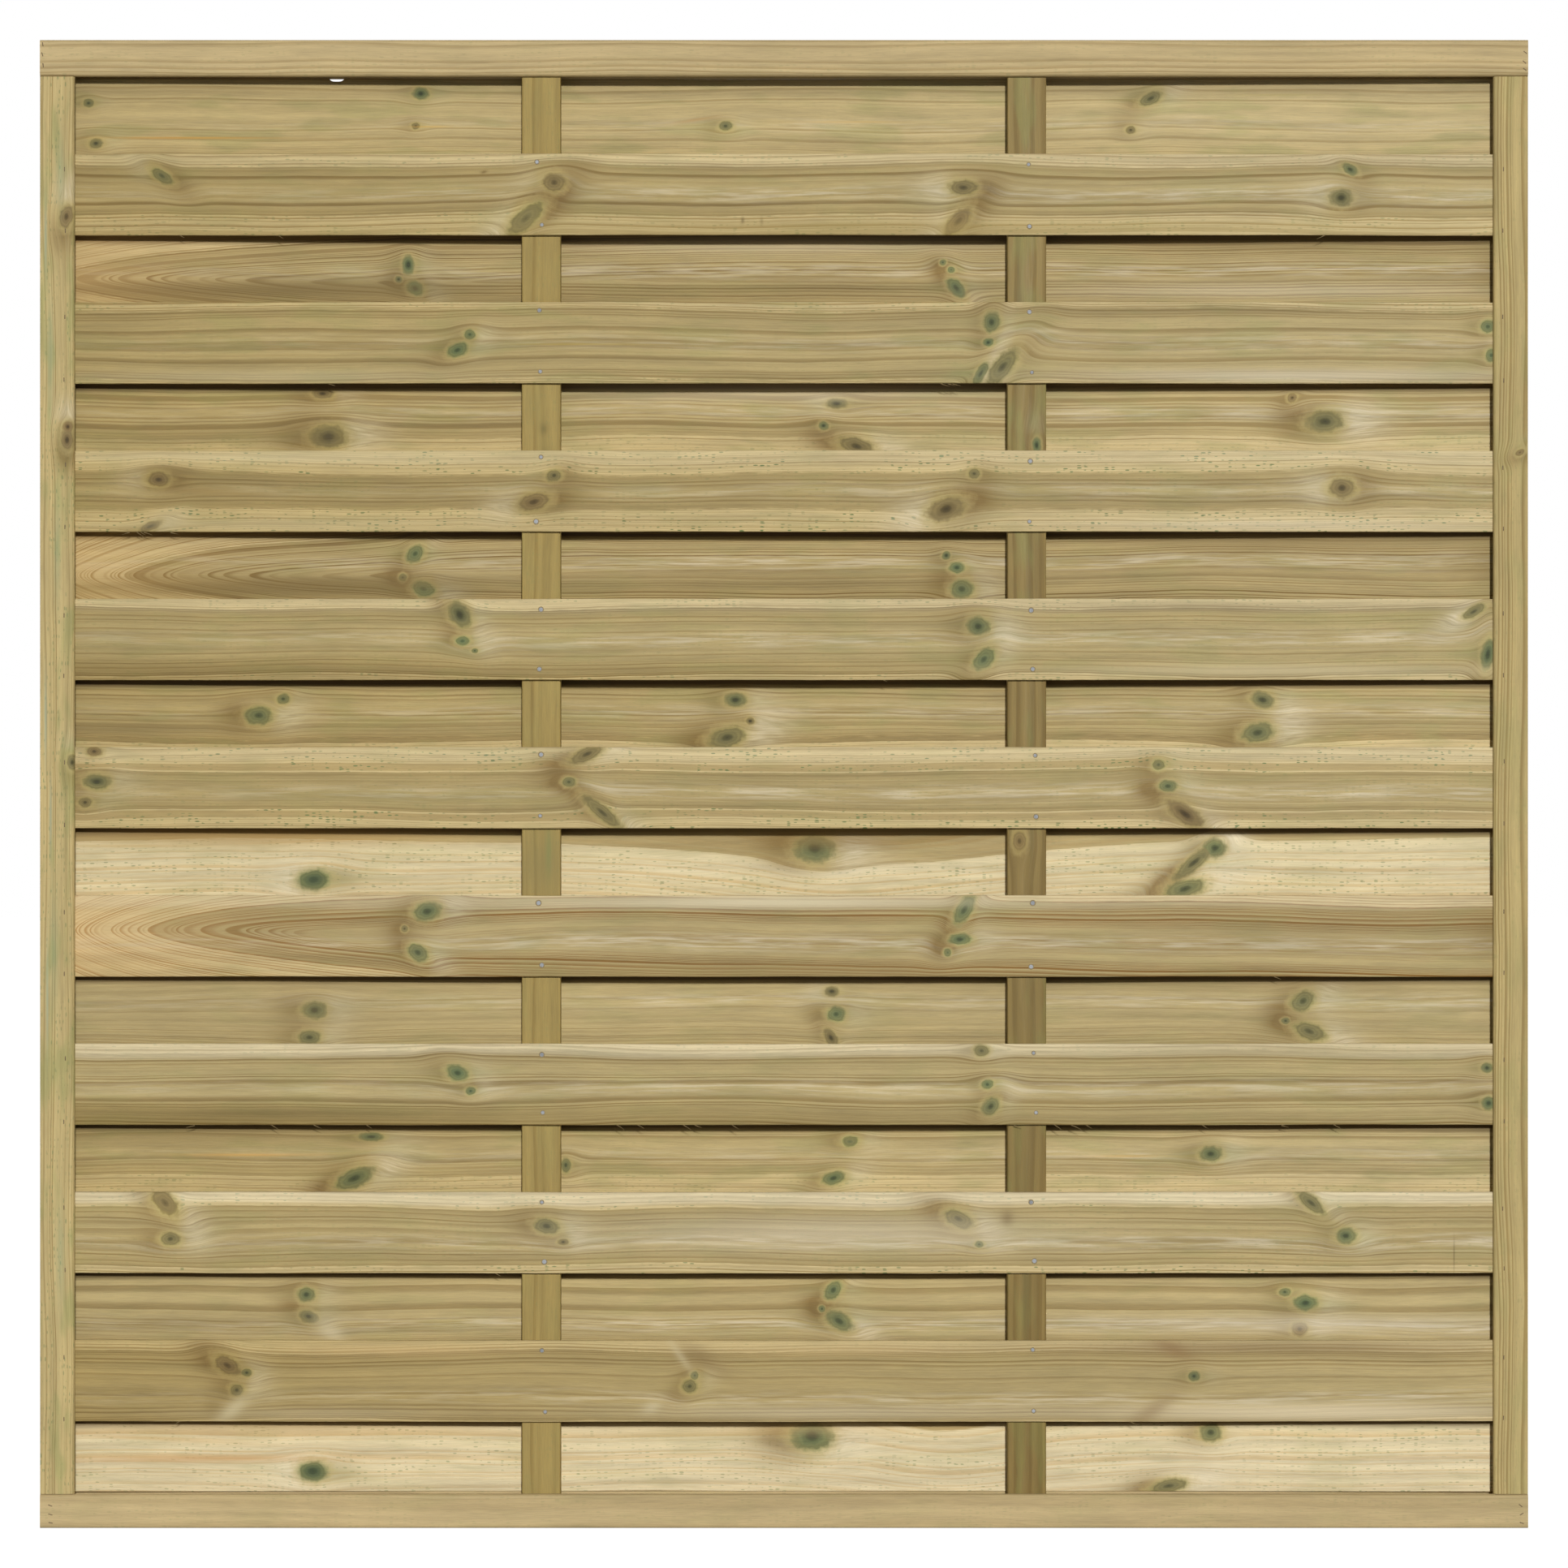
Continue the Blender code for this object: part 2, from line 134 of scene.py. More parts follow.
# Knots and marks are given as the values of a Knot and of a Mark, in order
BOARDS = {
    "rear_slat_1": REAR_SLAT._replace(seed=1, pith=6, heart=60, left=0.7, heartwood=0.5, lines=0.6,
        silver=0.4, silver_at=-6, flecks=0.3, green=0.6, shelter=0.25,
        knots=((56, 20, 6, 5, 0, 0.6, 0.5), (65, -29, 8, 6, 0, 0.5, 0.6), (453, -7, 5, 4, 0, 0.3, 0.5),
               (459, 32, 9, 7, 0, 0.9, 0.3), (829, -7, 8, 6, 0, 0.6, 0.5),
               (1345, 26, 14, 7, 25, 0.5, 0.7), (1321, -12, 6, 5, 0, 0.3, 0.5)),
        marks=((184, -22, 95, 1.3, 0, "C08A30", 0.6), (470, -8, 22, 1.0, 0, "C89A40", 0.5),
               (975, -2, 60, 1.4, 0, "C49A48", 0.35), (790, 0, 26, 2.0, 8, "B4884C", 0.4),
               (1500, 30, 60, 1.2, 0, "A89A5C", 0.4))),
    "front_slat_1": SLAT._replace(seed=2, pith=5, ring=4.0, left=0.9, lines=1.0, silver=0.8, low=0.1,
        lean=-1,
        knots=((147, 23, 15, 7, -35, 0.6, 0.7), (622, 14, 13, 11, 0, 0.2, 0.5),
               (588, -29, 27, 12, 42, 0.45, 0.9), (1117, 8, 17, 9, 0, 0.3, 0.7),
               (1110, -34, 20, 10, 45, 0.1, 0.9), (1585, 31, 10, 6, -30, 0.8, 0.4),
               (1574, -4, 13, 10, 0, 0.5, 0.6)),
        marks=((1490, 41, 280, 8, 0, "6E5C36", 0.3), (1200, -40, 620, 9, 0, "A8945C", 0.4),
               (950, -40, 260, 8, 0, "86703C", 0.35), (537, 27, 4, 2, 15, "6A5226", 0.7),
               (690, 17, 30, 2.5, 5, "8A7446", 0.35), (850, -32, 2, 4, 0, "5A4A2A", 0.6),
               (873, -33, 2, 5, 0, "6A5A34", 0.4))),
    "rear_slat_2": REAR_SLAT._replace(seed=3, pith=-14, depth=8, ring=2.8, heart=54.7, rise=47.6,
        rise_length=200, light=0.96, warm=0.1, left=0.3, lines=1.0, silver=0.7, silver_at=-4,
        flecks=0.1, low=0.8, line="AE9A74",
        knots=((444, 4, 7, 11, 0, 0.9, 0.7), (432, -14, 4, 4, 0, 0.7, 0.8),
               (452, -25, 10, 8, -20, 1.0, 0.8), (1093, 7, 4, 4, 0, 0.8, 0.5),
               (1103, -2, 5, 4, 0, 0.9, 0.5), (1109, -24, 14, 8, -50, 1.0, 0.8)),
        marks=((250, -30, 200, 12, 0, "5E4E2A", 0.3), (1490, -28, 260, 9, 0, "E8DCC0", 0.25),
               (900, 26, 240, 9, 0, "E8DCC0", 0.2), (1490, 26, 260, 9, 0, "6E5C36", 0.3),
               (290, -26, 240, 10, 0, "66552F", 0.38), (900, -26, 260, 9, 0, "66552F", 0.3),
               (330, -24, 210, 9, 0, "78643A", 0.45), (-10, 0, 180, 60, 0, "C0985C", 0.4),
               (1770, -4, 34, 26, 0, "75602F", 0.5))),
    "front_slat_2": SLAT._replace(seed=4, pith=-3, ring=3.6, heart=47, light=0.98, left=0.9,
        heartwood=0.8, lines=1.0, silver=0.5, green=0.5, top=0.0, low=0.0,
        knots=((520, 10, 7, 6, 0, 0.9, 0.5), (505, -9, 13, 8, 25, 1.0, 0.7),
               (1151, 25, 12, 10, 80, 0.8, 0.7), (1147, 0, 6, 5, 0, 1.0, 0.4),
               (1138, -38, 16, 6, 60, 0.8, 0.7), (1164, -30, 26, 11, 50, 0.5, -0.7),
               (1752, 20, 9, 8, 0, 0.9, 0.5), (1756, -15, 7, 8, 0, 0.9, 0.5)),
        marks=((1490, 41, 280, 8, 0, "6E5C36", 0.3), (290, -41, 260, 8, 0, "D8CAA0", 0.3),
               (1520, -40, 250, 8, 0, "D8CCB0", 0.55), (660, -2, 70, 1.2, 0, "B4983C", 0.4),
               (1215, 14, 30, 3, 0, "CDBF98", 0.4))),
    "rear_slat_3": REAR_SLAT._replace(seed=5, pith=5, left=1.0, heartwood=0.7, silver=0.7, silver_at=4,
        flecks=0.3, green=0.5,
        knots=((340, 27, 12, 6, 0, 0.2, 0.7), (347, -26, 21, 13, 0, 0.4, 0.9),
               (948, -12, 6, 5, 0, 0.8, 0.4), (964, 15, 12, 6, 0, 0.5, -0.3),
               (988, -37, 22, 10, -15, 0.3, 0.8), (1517, 22, 6, 5, 30, 0.1, 0.5),
               (1557, -7, 21, 12, 0, 0.5, 0.9)),
        marks=((230, -28, 200, 10, 0, "6E5C36", 0.35), (900, 26, 260, 10, 0, "F0E4C8", 0.2))),
    "front_slat_3": SLAT._replace(seed=6, heart=29, light=0.99, left=1.0, silver=0.5, flecks=1.0,
        low=0.0, lean=-1,
        knots=((143, 14, 13, 9, 0, 0.1, 0.8), (133, -43, 14, 5, 20, 0.2, -0.5),
               (622, 19, 9, 7, 20, 0.4, 0.5), (598, -13, 19, 10, 15, 0.1, 0.8),
               (1130, 21, 7, 6, 0, 0.4, 0.5), (1096, -22, 22, 13, 20, 0.2, 0.9),
               (1575, 4, 15, 12, 0, 0.2, 0.7)),
        marks=((290, 41, 280, 8, 0, "E6D8AC", 0.25), (1500, -41, 250, 8, 0, "DCD0B4", 0.35),
               (290, -41, 280, 8, 0, "DCCEA2", 0.2), (195, 1, 45, 3, 0, "8A7040", 0.45),
               (230, -3, 60, 2, 0, "8A7040", 0.35))),
    "rear_slat_4": REAR_SLAT._replace(seed=7, pith=-13, depth=8, ring=2.8, heart=53.7, rise=87.7,
        rise_length=155, light=0.95, warm=0.1, left=0.3, lines=1.0, silver=0.8, silver_at=2, flecks=0.1,
        low=0.8, line="AE9A74",
        knots=((452, 12, 12, 9, 50, 0.9, 0.7), (437, -17, 5, 5, 0, 0.5, 0.8),
               (462, -31, 14, 9, -15, 1.0, 0.8), (1097, 10, 5, 5, 0, 0.8, 0.5),
               (1110, -5, 9, 7, 0, 1.0, 0.5), (1116, -31, 14, 11, 0, 0.9, 0.8)),
        marks=((250, -30, 200, 12, 0, "5E4E2A", 0.3), (1490, 28, 260, 9, 0, "6E5C36", 0.35),
               (290, -26, 240, 10, 0, "66552F", 0.42), (900, -26, 260, 9, 0, "66552F", 0.35),
               (340, -24, 210, 10, 0, "78643A", 0.5), (1500, 20, 230, 9, 0, "86724A", 0.35),
               (-10, 0, 200, 60, 0, "C29A58", 0.4), (1775, 0, 44, 30, 0, "75602F", 0.5))),
    "front_slat_4": SLAT._replace(seed=8, pith=-3, ring=3.8, heart=45, lines=1.0, silver=0.8,
        flecks=0.7, green=0.4, low=0.8,
        knots=((508, 30, 17, 11, -55, 0.6, 0.9), (511, -2, 9, 6, 0, 1.0, 0.6),
               (526, -14, 4, 3, 0, 0.8, 0.3), (1135, 16, 13, 11, 0, 0.8, 0.8),
               (1142, -24, 16, 10, 45, 0.9, 0.8), (1735, 34, 16, 6, 30, 0.5, -0.5),
               (1752, -18, 18, 8, 80, 0.9, 0.5)),
        marks=((290, -41, 260, 8, 0, "6E5C36", 0.3), (1490, 41, 280, 7, 0, "6E5C36", 0.3),
               (1500, -38, 280, 8, 0, "CDBF98", 0.5))),
    "rear_slat_5": REAR_SLAT._replace(seed=9, pith=8, heart=46, light=1.02, left=0.9, flecks=0.4,
        green=0.5,
        knots=((292, 15, 8, 6, 0, 0.7, 0.5), (262, -5, 16, 11, 0, 0.8, 0.9),
               (841, 14, 13, 8, 0, 0.7, 0.7), (859, -12, 5, 4, 0, 0.3, 0.5),
               (831, -32, 22, 12, 15, 0.5, 0.9), (1481, 14, 14, 9, -20, 0.6, 0.7),
               (1475, -26, 19, 11, 10, 0.7, 0.8)),
        marks=((90, -22, 110, 8, 0, "77653F", 0.45),)),
    "front_slat_5": SLAT._replace(seed=10, pith=-4, ring=3.8, heart=33, silver=0.8, silver_at=-6,
        flecks=1.0, low=0.1,
        knots=((68, 7, 15, 9, 0, 0.6, 0.6), (54, -18, 8, 6, 0, 0.3, 0.6), (65, 44, 9, 6, 0, 0.1, 0.3),
               (640, 7, 8, 6, 0, 0.6, 0.7), (662, 41, 22, 8, 25, 0.3, 0.8),
               (680, -30, 27, 8, -40, 0.4, 0.8), (1353, 28, 8, 7, 0, 0.6, 0.5),
               (1364, 2, 11, 7, 0, 0.8, 0.6), (1385, -32, 24, 10, -35, 0.1, 0.7))),
    "rear_slat_6": REAR_SLAT._replace(seed=11, pith=34, depth=18, ring=6.0, heart=22, dip=26,
        dip_at=1000, dip_length=190, light=1.06, left=0.2, lines=0.55, silver=0.4, silver_at=-12,
        flecks=0.6, sap="CFC19A", line="E2C494",
        knots=((329, -25, 19, 12, 5, 1.0, -0.5), (937, 13, 23, 16, 0, 0.8, 0.8),
               (1423, 14, 13, 11, 0, 0.8, 0.7), (1387, -36, 25, 10, 15, 0.7, 0.6),
               (1398, -4, 30, 8, 40, 0.5, 0.9)),
        marks=((330, -25, 14, 8, 5, "3C4630", 0.8), (250, 25, 240, 11, 0, "98763E", 0.6),
               (960, 32, 220, 11, 0, "6E5C36", 0.5), (960, 22, 190, 11, 0, "7E6638", 0.5),
               (100, 16, 90, 1.5, 0, "B8924E", 0.35), (330, 22, 90, 1.2, 2, "B8924E", 0.3))),
    "front_slat_6": SLAT._replace(seed=12, pith=8, depth=8, drift=-14, ring=2.8, heart=50.6, rise=98.0,
        rise_length=165, light=0.96, warm=0.1, left=0.0, lines=1.0, silver=1.0, silver_at=-8,
        flecks=0.1, top=1.0, low=0.4, line="BC9868",
        knots=((468, 30, 16, 11, 15, 0.9, 0.7), (441, 9, 4, 4, 0, 0.4, 0.7),
               (457, -20, 13, 10, -35, 0.8, 0.9), (1118, 32, 20, 9, 60, 0.9, 0.7),
               (1113, -4, 13, 7, 0, 1.0, 0.7), (1098, -20, 5, 5, 0, 0.8, 0.7)),
        marks=((290, 10, 160, 22, 0, "7A6842", 0.3), (1490, 0, 280, 20, 0, "7A6842", 0.3),
               (880, 41, 240, 7, 0, "DACEAC", 0.65), (900, -40, 240, 8, 0, "8A764A", 0.5),
               (-20, -4, 240, 60, 0, "CBA268", 0.4), (1765, 2, 38, 32, 0, "75602F", 0.5))),
    "rear_slat_7": REAR_SLAT._replace(seed=13, pith=3, heart=60, light=0.97, left=0.2, heartwood=0.8,
        silver=0.7, silver_at=6, flecks=0.2,
        knots=((330, -4, 14, 10, 0, 0.7, 0.7), (324, -37, 13, 8, 0, 0.6, 0.6),
               (963, -9, 11, 9, 0, 0.9, 0.6), (958, 19, 9, 6, 0, 0.4, -0.3),
               (957, -38, 12, 7, -60, 0.3, 0.6), (1530, 7, 15, 11, 30, 0.6, 0.8),
               (1509, -17, 5, 4, 0, 0.6, 0.4), (1538, -30, 20, 10, -20, 0.5, 0.8)),
        marks=((1490, 26, 260, 9, 0, "6E5C36", 0.3), (290, 0, 240, 30, 0, "7A6842", 0.25))),
    "front_slat_7": SLAT._replace(seed=14, pith=-8, ring=3.8, heart=51, left=0.1, lines=1.0,
        silver_at=-4, flecks=0.4, top=1.7, low=1.2,
        knots=((505, 14, 13, 9, -15, 1.0, 0.6), (521, -8, 6, 5, 0, 0.9, 0.5),
               (1139, 41, 9, 7, 0, 0.5, 0.5), (1146, 0, 7, 6, 0, 0.9, 0.5),
               (1150, -27, 12, 9, 50, 0.7, 0.7), (1751, 20, 7, 6, 0, 0.8, 0.4),
               (1753, -23, 8, 8, 0, 0.9, 0.5)),
        marks=((290, -38, 280, 10, 0, "66552F", 0.45), (1490, -40, 280, 8, 0, "6E5C36", 0.25),
               (1500, 41, 260, 7, 0, "94845A", 0.5), (900, -40, 260, 8, 0, "8A764A", 0.35))),
    "rear_slat_8": REAR_SLAT._replace(seed=15, pith=8, heart=40, left=0.9, heartwood=0.7, silver=0.5,
        flecks=0.4, green=0.5,
        knots=((399, 22, 14, 5, 0, 0.9, 0.4), (378, -29, 24, 11, 25, 0.8, 0.8),
               (635, -13, 6, 9, 0, 0.7, 0.3), (980, 16, 11, 7, 0, 0.7, 0.6),
               (960, -29, 14, 8, 15, 0.9, 0.7), (1418, 1, 13, 9, 0, 0.8, 0.7)),
        marks=((200, 21, 200, 12, 0, "6E5C36", 0.42), (253, 0, 70, 1.6, 0, "D09A48", 0.5),
               (1310, -2, 45, 1.4, 0, "CFA050", 0.4))),
    "front_slat_8": SLAT._replace(seed=16, pith=-5, ring=4.4, heart=40, light=1.02, left=0.3, lines=1.0,
        silver=0.8, silver_at=-12, flecks=0.8, top=2.2, low=0.1,
        knots=((151, 36, 20, 12, -45, 0.2, 0.7), (157, -8, 12, 8, 0, 0.4, 0.7),
               (613, 8, 15, 9, -10, 0.5, 0.8), (633, -11, 6, 4, 0, 0.3, 0.6),
               (1111, 17, 18, 10, -25, 0.4, 0.8), (1136, -14, 5, 4, 0, 0.8, 0.4),
               (1538, 36, 20, 8, -40, 0.5, 0.7), (1580, -4, 12, 9, 0, 0.8, 0.6)),
        marks=((960, 0, 260, 20, 0, "D6CAB0", 0.4), (1711, -27, 0.8, 18, 0, "5A4A30", 0.6),
               (1170, 18, 8, 9, 0, "6A5636", 0.5))),
    "rear_slat_9": REAR_SLAT._replace(seed=17, pith=6, heart=60, left=0.3, heartwood=0.8, silver=0.9,
        silver_at=-26, flecks=0.2,
        knots=((320, 10, 10, 9, 0, 0.8, 0.6), (323, -17, 11, 7, -20, 0.5, 0.7),
               (960, 15, 13, 9, 50, 0.9, 0.7), (946, -8, 4, 4, 0, 0.8, 0.5),
               (967, -23, 17, 10, -30, 0.8, 0.8), (1508, 13, 7, 5, 0, 0.8, 0.4),
               (1533, 0, 14, 9, 0, 1.0, 0.6), (1526, -32, 10, 8, 0, 0.1, 0.7)),
        marks=((348, -34, 22, 10, -40, "CFC4A2", 0.45), (170, -26, 170, 9, 0, "66552F", 0.35),
               (1540, -26, 260, 10, 0, "D8CCB0", 0.4))),
    "front_slat_9": SLAT._replace(seed=18, pith=-6, heart=46, light=0.98, warm=0.1, left=1.0,
        silver=0.7, silver_at=-20, flecks=0.2, green=0.1, top=0.0, low=0.0,
        knots=((226, 19, 17, 10, -30, 0.1, 0.9), (250, 10, 6, 5, 0, 0.6, 0.6),
               (238, -11, 8, 7, 0, 0.4, 0.8), (792, 7, 5, 5, 0, 0.7, 0.5),
               (786, -6, 9, 8, 30, 0.5, 0.7), (1396, 6, 7, 6, 0, 0.8, 0.5)),
        marks=((960, -38, 260, 9, 0, "D2C6A8", 0.35), (330, -40, 160, 8, 0, "D2C6A8", 0.2),
               (1540, -38, 240, 10, 0, "E2D6B8", 0.5), (1490, 41, 280, 9, 0, "66552F", 0.3),
               (234, -34, 26, 9, 40, "CFC29C", 0.5), (208, -30, 12, 12, 50, "7E6A3E", 0.4),
               (774, 32, 24, 5, -55, "CFC29C", 0.4), (800, 28, 34, 12, -30, "7C6640", 0.5),
               (1370, 40, 24, 9, -20, "84603C", 0.6), (1345, -36, 30, 10, 30, "7A5F36", 0.55),
               (1480, 41, 250, 8, 0, "86704A", 0.6), (440, 38, 120, 7, 0, "C4A672", 0.5),
               (1560, -38, 200, 9, 0, "D2C09A", 0.5), (975, 38, 120, 6, 0, "C6AC7A", 0.5),
               (740, -32, 12, 7, 20, "CFC4A2", 0.4))),
    "rear_slat_10": REAR_SLAT._replace(seed=19, pith=40, depth=24, ring=6.0, heart=14, dip=16,
        dip_at=1090, dip_length=110, light=1.08, left=0.2, lines=0.55, silver=0.4, silver_at=-10,
        sap="D1C39E", line="E2C494",
        knots=((328, -25, 17, 12, 0, 1.0, -0.5), (934, 17, 24, 17, 0, 0.9, 0.8),
               (1418, 22, 13, 11, 0, 0.7, 0.6), (1367, -43, 22, 8, 10, 0.5, 0.8)),
        marks=((328, -25, 13, 8, 0, "39432C", 0.85), (290, 26, 240, 9, 0, "B08E58", 0.45),
               (900, 26, 260, 9, 0, "B49868", 0.35), (180, -10, 170, 4.5, 0, "C0925A", 0.6),
               (150, 14, 130, 3.0, -3, "C09A60", 0.4), (733, -50, 44, 1.3, 0, "4A3418", 0.8))),
    "top_rail": PLAIN._replace(seed=20, pith=6, depth=60, ring=2.6, heart=30, left=0.0, lines=0.7,
        silver=0.0, flecks=0.2, green=0.1, sap="BBA679"),
    "bottom_rail": PLAIN._replace(seed=21, pith=-4, depth=58, ring=2.8, heart=30, left=0.0, lines=0.7,
        silver=0.0, flecks=0.2, green=0.2, sap="BAA579"),
    "left_stile": PLAIN._replace(seed=22, pith=-30, depth=40, ring=2.8, heart=20, left=0.0, silver=0.0,
        flecks=0.6, green=1.0, sap="BAA673",
        knots=((1586, 11, 14, 8, 10, 0.1, 0.9), (1316, 12, 12, 7, 0, 0.1, 0.9),
               (1332, 13, 7, 6, 0, 0.0, 0.7), (926, 18, 9, 6, 0, 0.4, 0.6)),
        marks=((1560, -14, 40, 1.5, 0, "83A596", 0.4), (980, -14, 50, 1.6, 0, "83A596", 0.45),
               (860, -8, 40, 1.4, 0, "83A596", 0.4), (640, -12, 60, 1.6, 0, "83A596", 0.4),
               (1640, 4, 40, 5, 0, "7E9472", 0.4), (1180, 0, 60, 4, 0, "7E9472", 0.35),
               (1420, -8, 70, 4, 0, "86977A", 0.35), (700, -4, 80, 5, 0, "7E9472", 0.35),
               (330, 4, 60, 5, 0, "7A9070", 0.4))),
    "right_stile": PLAIN._replace(seed=23, pith=26, depth=44, ring=2.8, heart=20, left=0.0, silver=0.0,
        flecks=0.2, green=0.4, sap="B5A16D",
        knots=((1301, 11, 6, 4, 60, 0.1, 0.8),)),
    "left_batten": PLAIN._replace(seed=24, pith=10, depth=50, ring=2.6, heart=20, left=0.0, lines=0.45,
        silver=0.0, flecks=0.2, green=0.2, sap="9C874F",
        marks=((800, 0, 40, 40, 0, "86784A", 0.6), (820, 9, 30, 4, 0, "6F8450", 0.35),
               (1330, 3, 7, 5, 0, "6E6238", 0.6))),
    "right_batten": PLAIN._replace(seed=25, pith=-4, depth=30, ring=4.2, heart=37, light=0.98, left=1.0,
        silver=0.1, flecks=0.1, green=0.7, sap="8F7B4C",
        knots=((831, -9, 12, 8, 0, 0.1, 0.4), (1310, 12, 9, 5, 0, 0.9, 0.5)),
        marks=((560, 0, 330, 30, 0, "7E6C40", 0.35), (1450, -8, 70, 5, 0, "6B6C4C", 0.5),
               (900, 6, 90, 3, 0, "5E5A34", 0.4), (300, -2, 140, 4, 0, "5E5A34", 0.4))),
}


def linear_colour(hex_colour):
    """The linear colour of an sRGB hex value, with full alpha."""
    channels = [int(hex_colour[start:start + 2], 16) / 255 for start in (0, 2, 4)]
    linear = [c / 12.92 if c <= 0.04045 else ((c + 0.055) / 1.055) ** 2.4 for c in channels]
    return (*linear, 1.0)


def add_node(tree, kind, links=(), **settings):
    """Add a node with its settings, and fill its inputs.

    Links give the inputs by name, or in order when they aren't a dictionary. Each is a value, a
    socket, or a node whose first working output is meant.
    """
    node = tree.nodes.new(kind if kind.startswith("NodeGroup") else "ShaderNode" + kind)
    for setting, value in settings.items():
        setattr(node, setting, value)
    if isinstance(links, dict):
        pairs = [(node.inputs[name], value) for name, value in links.items()]
    else:
        pairs = zip([socket for socket in node.inputs if socket.enabled], links)
    for socket, value in pairs:
        if isinstance(value, bpy.types.Node):
            value = next(output for output in value.outputs if output.enabled)
        if isinstance(value, bpy.types.NodeSocket):
            tree.links.new(value, socket)
        else:
            socket.default_value = value
    return node


def new_group(name, inputs, outputs):
    """Make a shader node group with named sockets, given as pairs of a name and a type.

    It gives back the function that adds nodes to the group, and the group's inputs.
    """
    tree = bpy.data.node_groups.new(name, "ShaderNodeTree")
    for side, sockets in (("INPUT", inputs), ("OUTPUT", outputs)):
        for label, kind in sockets:
            tree.interface.new_socket(label, in_out=side, socket_type="NodeSocket" + kind)
    node = partial(add_node, tree)
    return node, node("NodeGroupInput").outputs


def new_material(name):
    """Make an empty material. It gives back the function that adds nodes to it, too."""
    material = bpy.data.materials.new(name)
    material.use_nodes = True
    material.node_tree.nodes.clear()
    return material, partial(add_node, material.node_tree)


# Settings that many nodes share
BLEND = {"data_type": "RGBA"}
TINT = {"data_type": "RGBA", "blend_type": "MULTIPLY"}
SMOOTH = {"interpolation_type": "SMOOTHSTEP"}

# Noises stretched along the grain: how many to a millimetre along and across, then their detail
# and roughness. The stem wanders over some 300 mm and its rings ripple over some 70 mm. Fibres
# are about 1.4 mm by 30 mm, which is far coarser than real ones, and bands run along the whole
# board. Ridges are the fibres that stand up where planed wood has dried
Streaks = namedtuple("Streaks", "stretch detail roughness")
WANDER = Streaks((0.0035, 0.012, 0.0), 0.0, 0.5)
RIPPLE = Streaks((0.014, 0.06, 0.0), 1.0, 0.5)
FIBRE = Streaks((0.033, 0.7, 0.0), 2.0, 0.6)
BAND = Streaks((0.0016, 0.10, 0.0), 1.0, 0.5)
MOTTLE = Streaks((0.008, 0.06, 0.0), 2.0, 0.5)
STAIN = Streaks((0.009, 0.035, 0.0), 2.0, 0.6)
SILVER = Streaks((0.011, 0.24, 0.0), 3.0, 0.6)
RIDGES = Streaks((0.05, 0.8, 0.0), 1.0, 0.5)

# Lumps of about 9 mm keep a knot's outline from being a true ellipse, and grow or shrink it so far
LUMPS = Streaks((0.11, 0.11, 0.0), 2.0, 0.6)
LUMP_MOST = 0.5
LUMP_LEAST = 0.75

# Resin canals, as dashes about 5 mm by 1 mm
FLECK_STRETCH = (0.12, 0.45, 0.0)

# Each board's patterns start this many millimetres further on than those of the one before
SEED_SHIFT = (1371.0, 517.0, 0.0)

# Each board's rings take their random weights this many rings further on
SEED_RINGS = 53.0

# How fast the grain runs on round an edge, against the way across
EDGE_TURN = 0.8

# The base of each fall-off, which is a bell curve where its power is the square of a distance
BELL = exp(-1)


def add_streaks(node, place, streaks):
    """A noise on the place, stretched along the grain."""
    at = node("VectorMath", (place, streaks.stretch), operation="MULTIPLY")
    return node("TexNoise", {"Vector": at, "Scale": 1.0, "Detail": streaks.detail,
                             "Roughness": streaks.roughness}, noise_dimensions="2D")


def add_bell(node, offset, radii):
    """A share that falls off from the middle of an ellipse, by the offset from it."""
    in_radii = node("VectorMath", (offset, radii), operation="DIVIDE")
    squared = node("VectorMath", (in_radii, in_radii), operation="DOT_PRODUCT")
    return node("Math", (BELL, squared), operation="POWER")


KNOT_PASSED_ON = ("Flow", "Nearest", "Hue", "Shade", "Tail")
KNOT_PASSED_SOCKETS = [(label, "Float") for label in KNOT_PASSED_ON]

# Further from every knot than any of its effects reaches, in the knot's own radii
FAR_FROM_KNOTS = 9.0

# Knots further apart than this along a board are never looked up together
KNOT_GAP = 150.0
NO_KNOT = Knot(-9000, 0, 5, 5, 0, 0.0, 0.0)

# The grain bends over about twice the knot's size and some millimetres more, and the green tails
# run further along it
BEND_TIMES = (1.8, 1.4, 1.0)
BEND_MORE = (8.0, 5.0, 1.0)
BEND_STRENGTH = 0.88
TAIL_TIMES = (2.4, 0.8, 1.0)
TAIL_MORE = (6.0, 1.0, 0.0)

# Browning at a knot's middle, and what a millimetre away from the leaning side takes off it
BROWNING = 0.55
BROWNING_SLOPE = -0.045


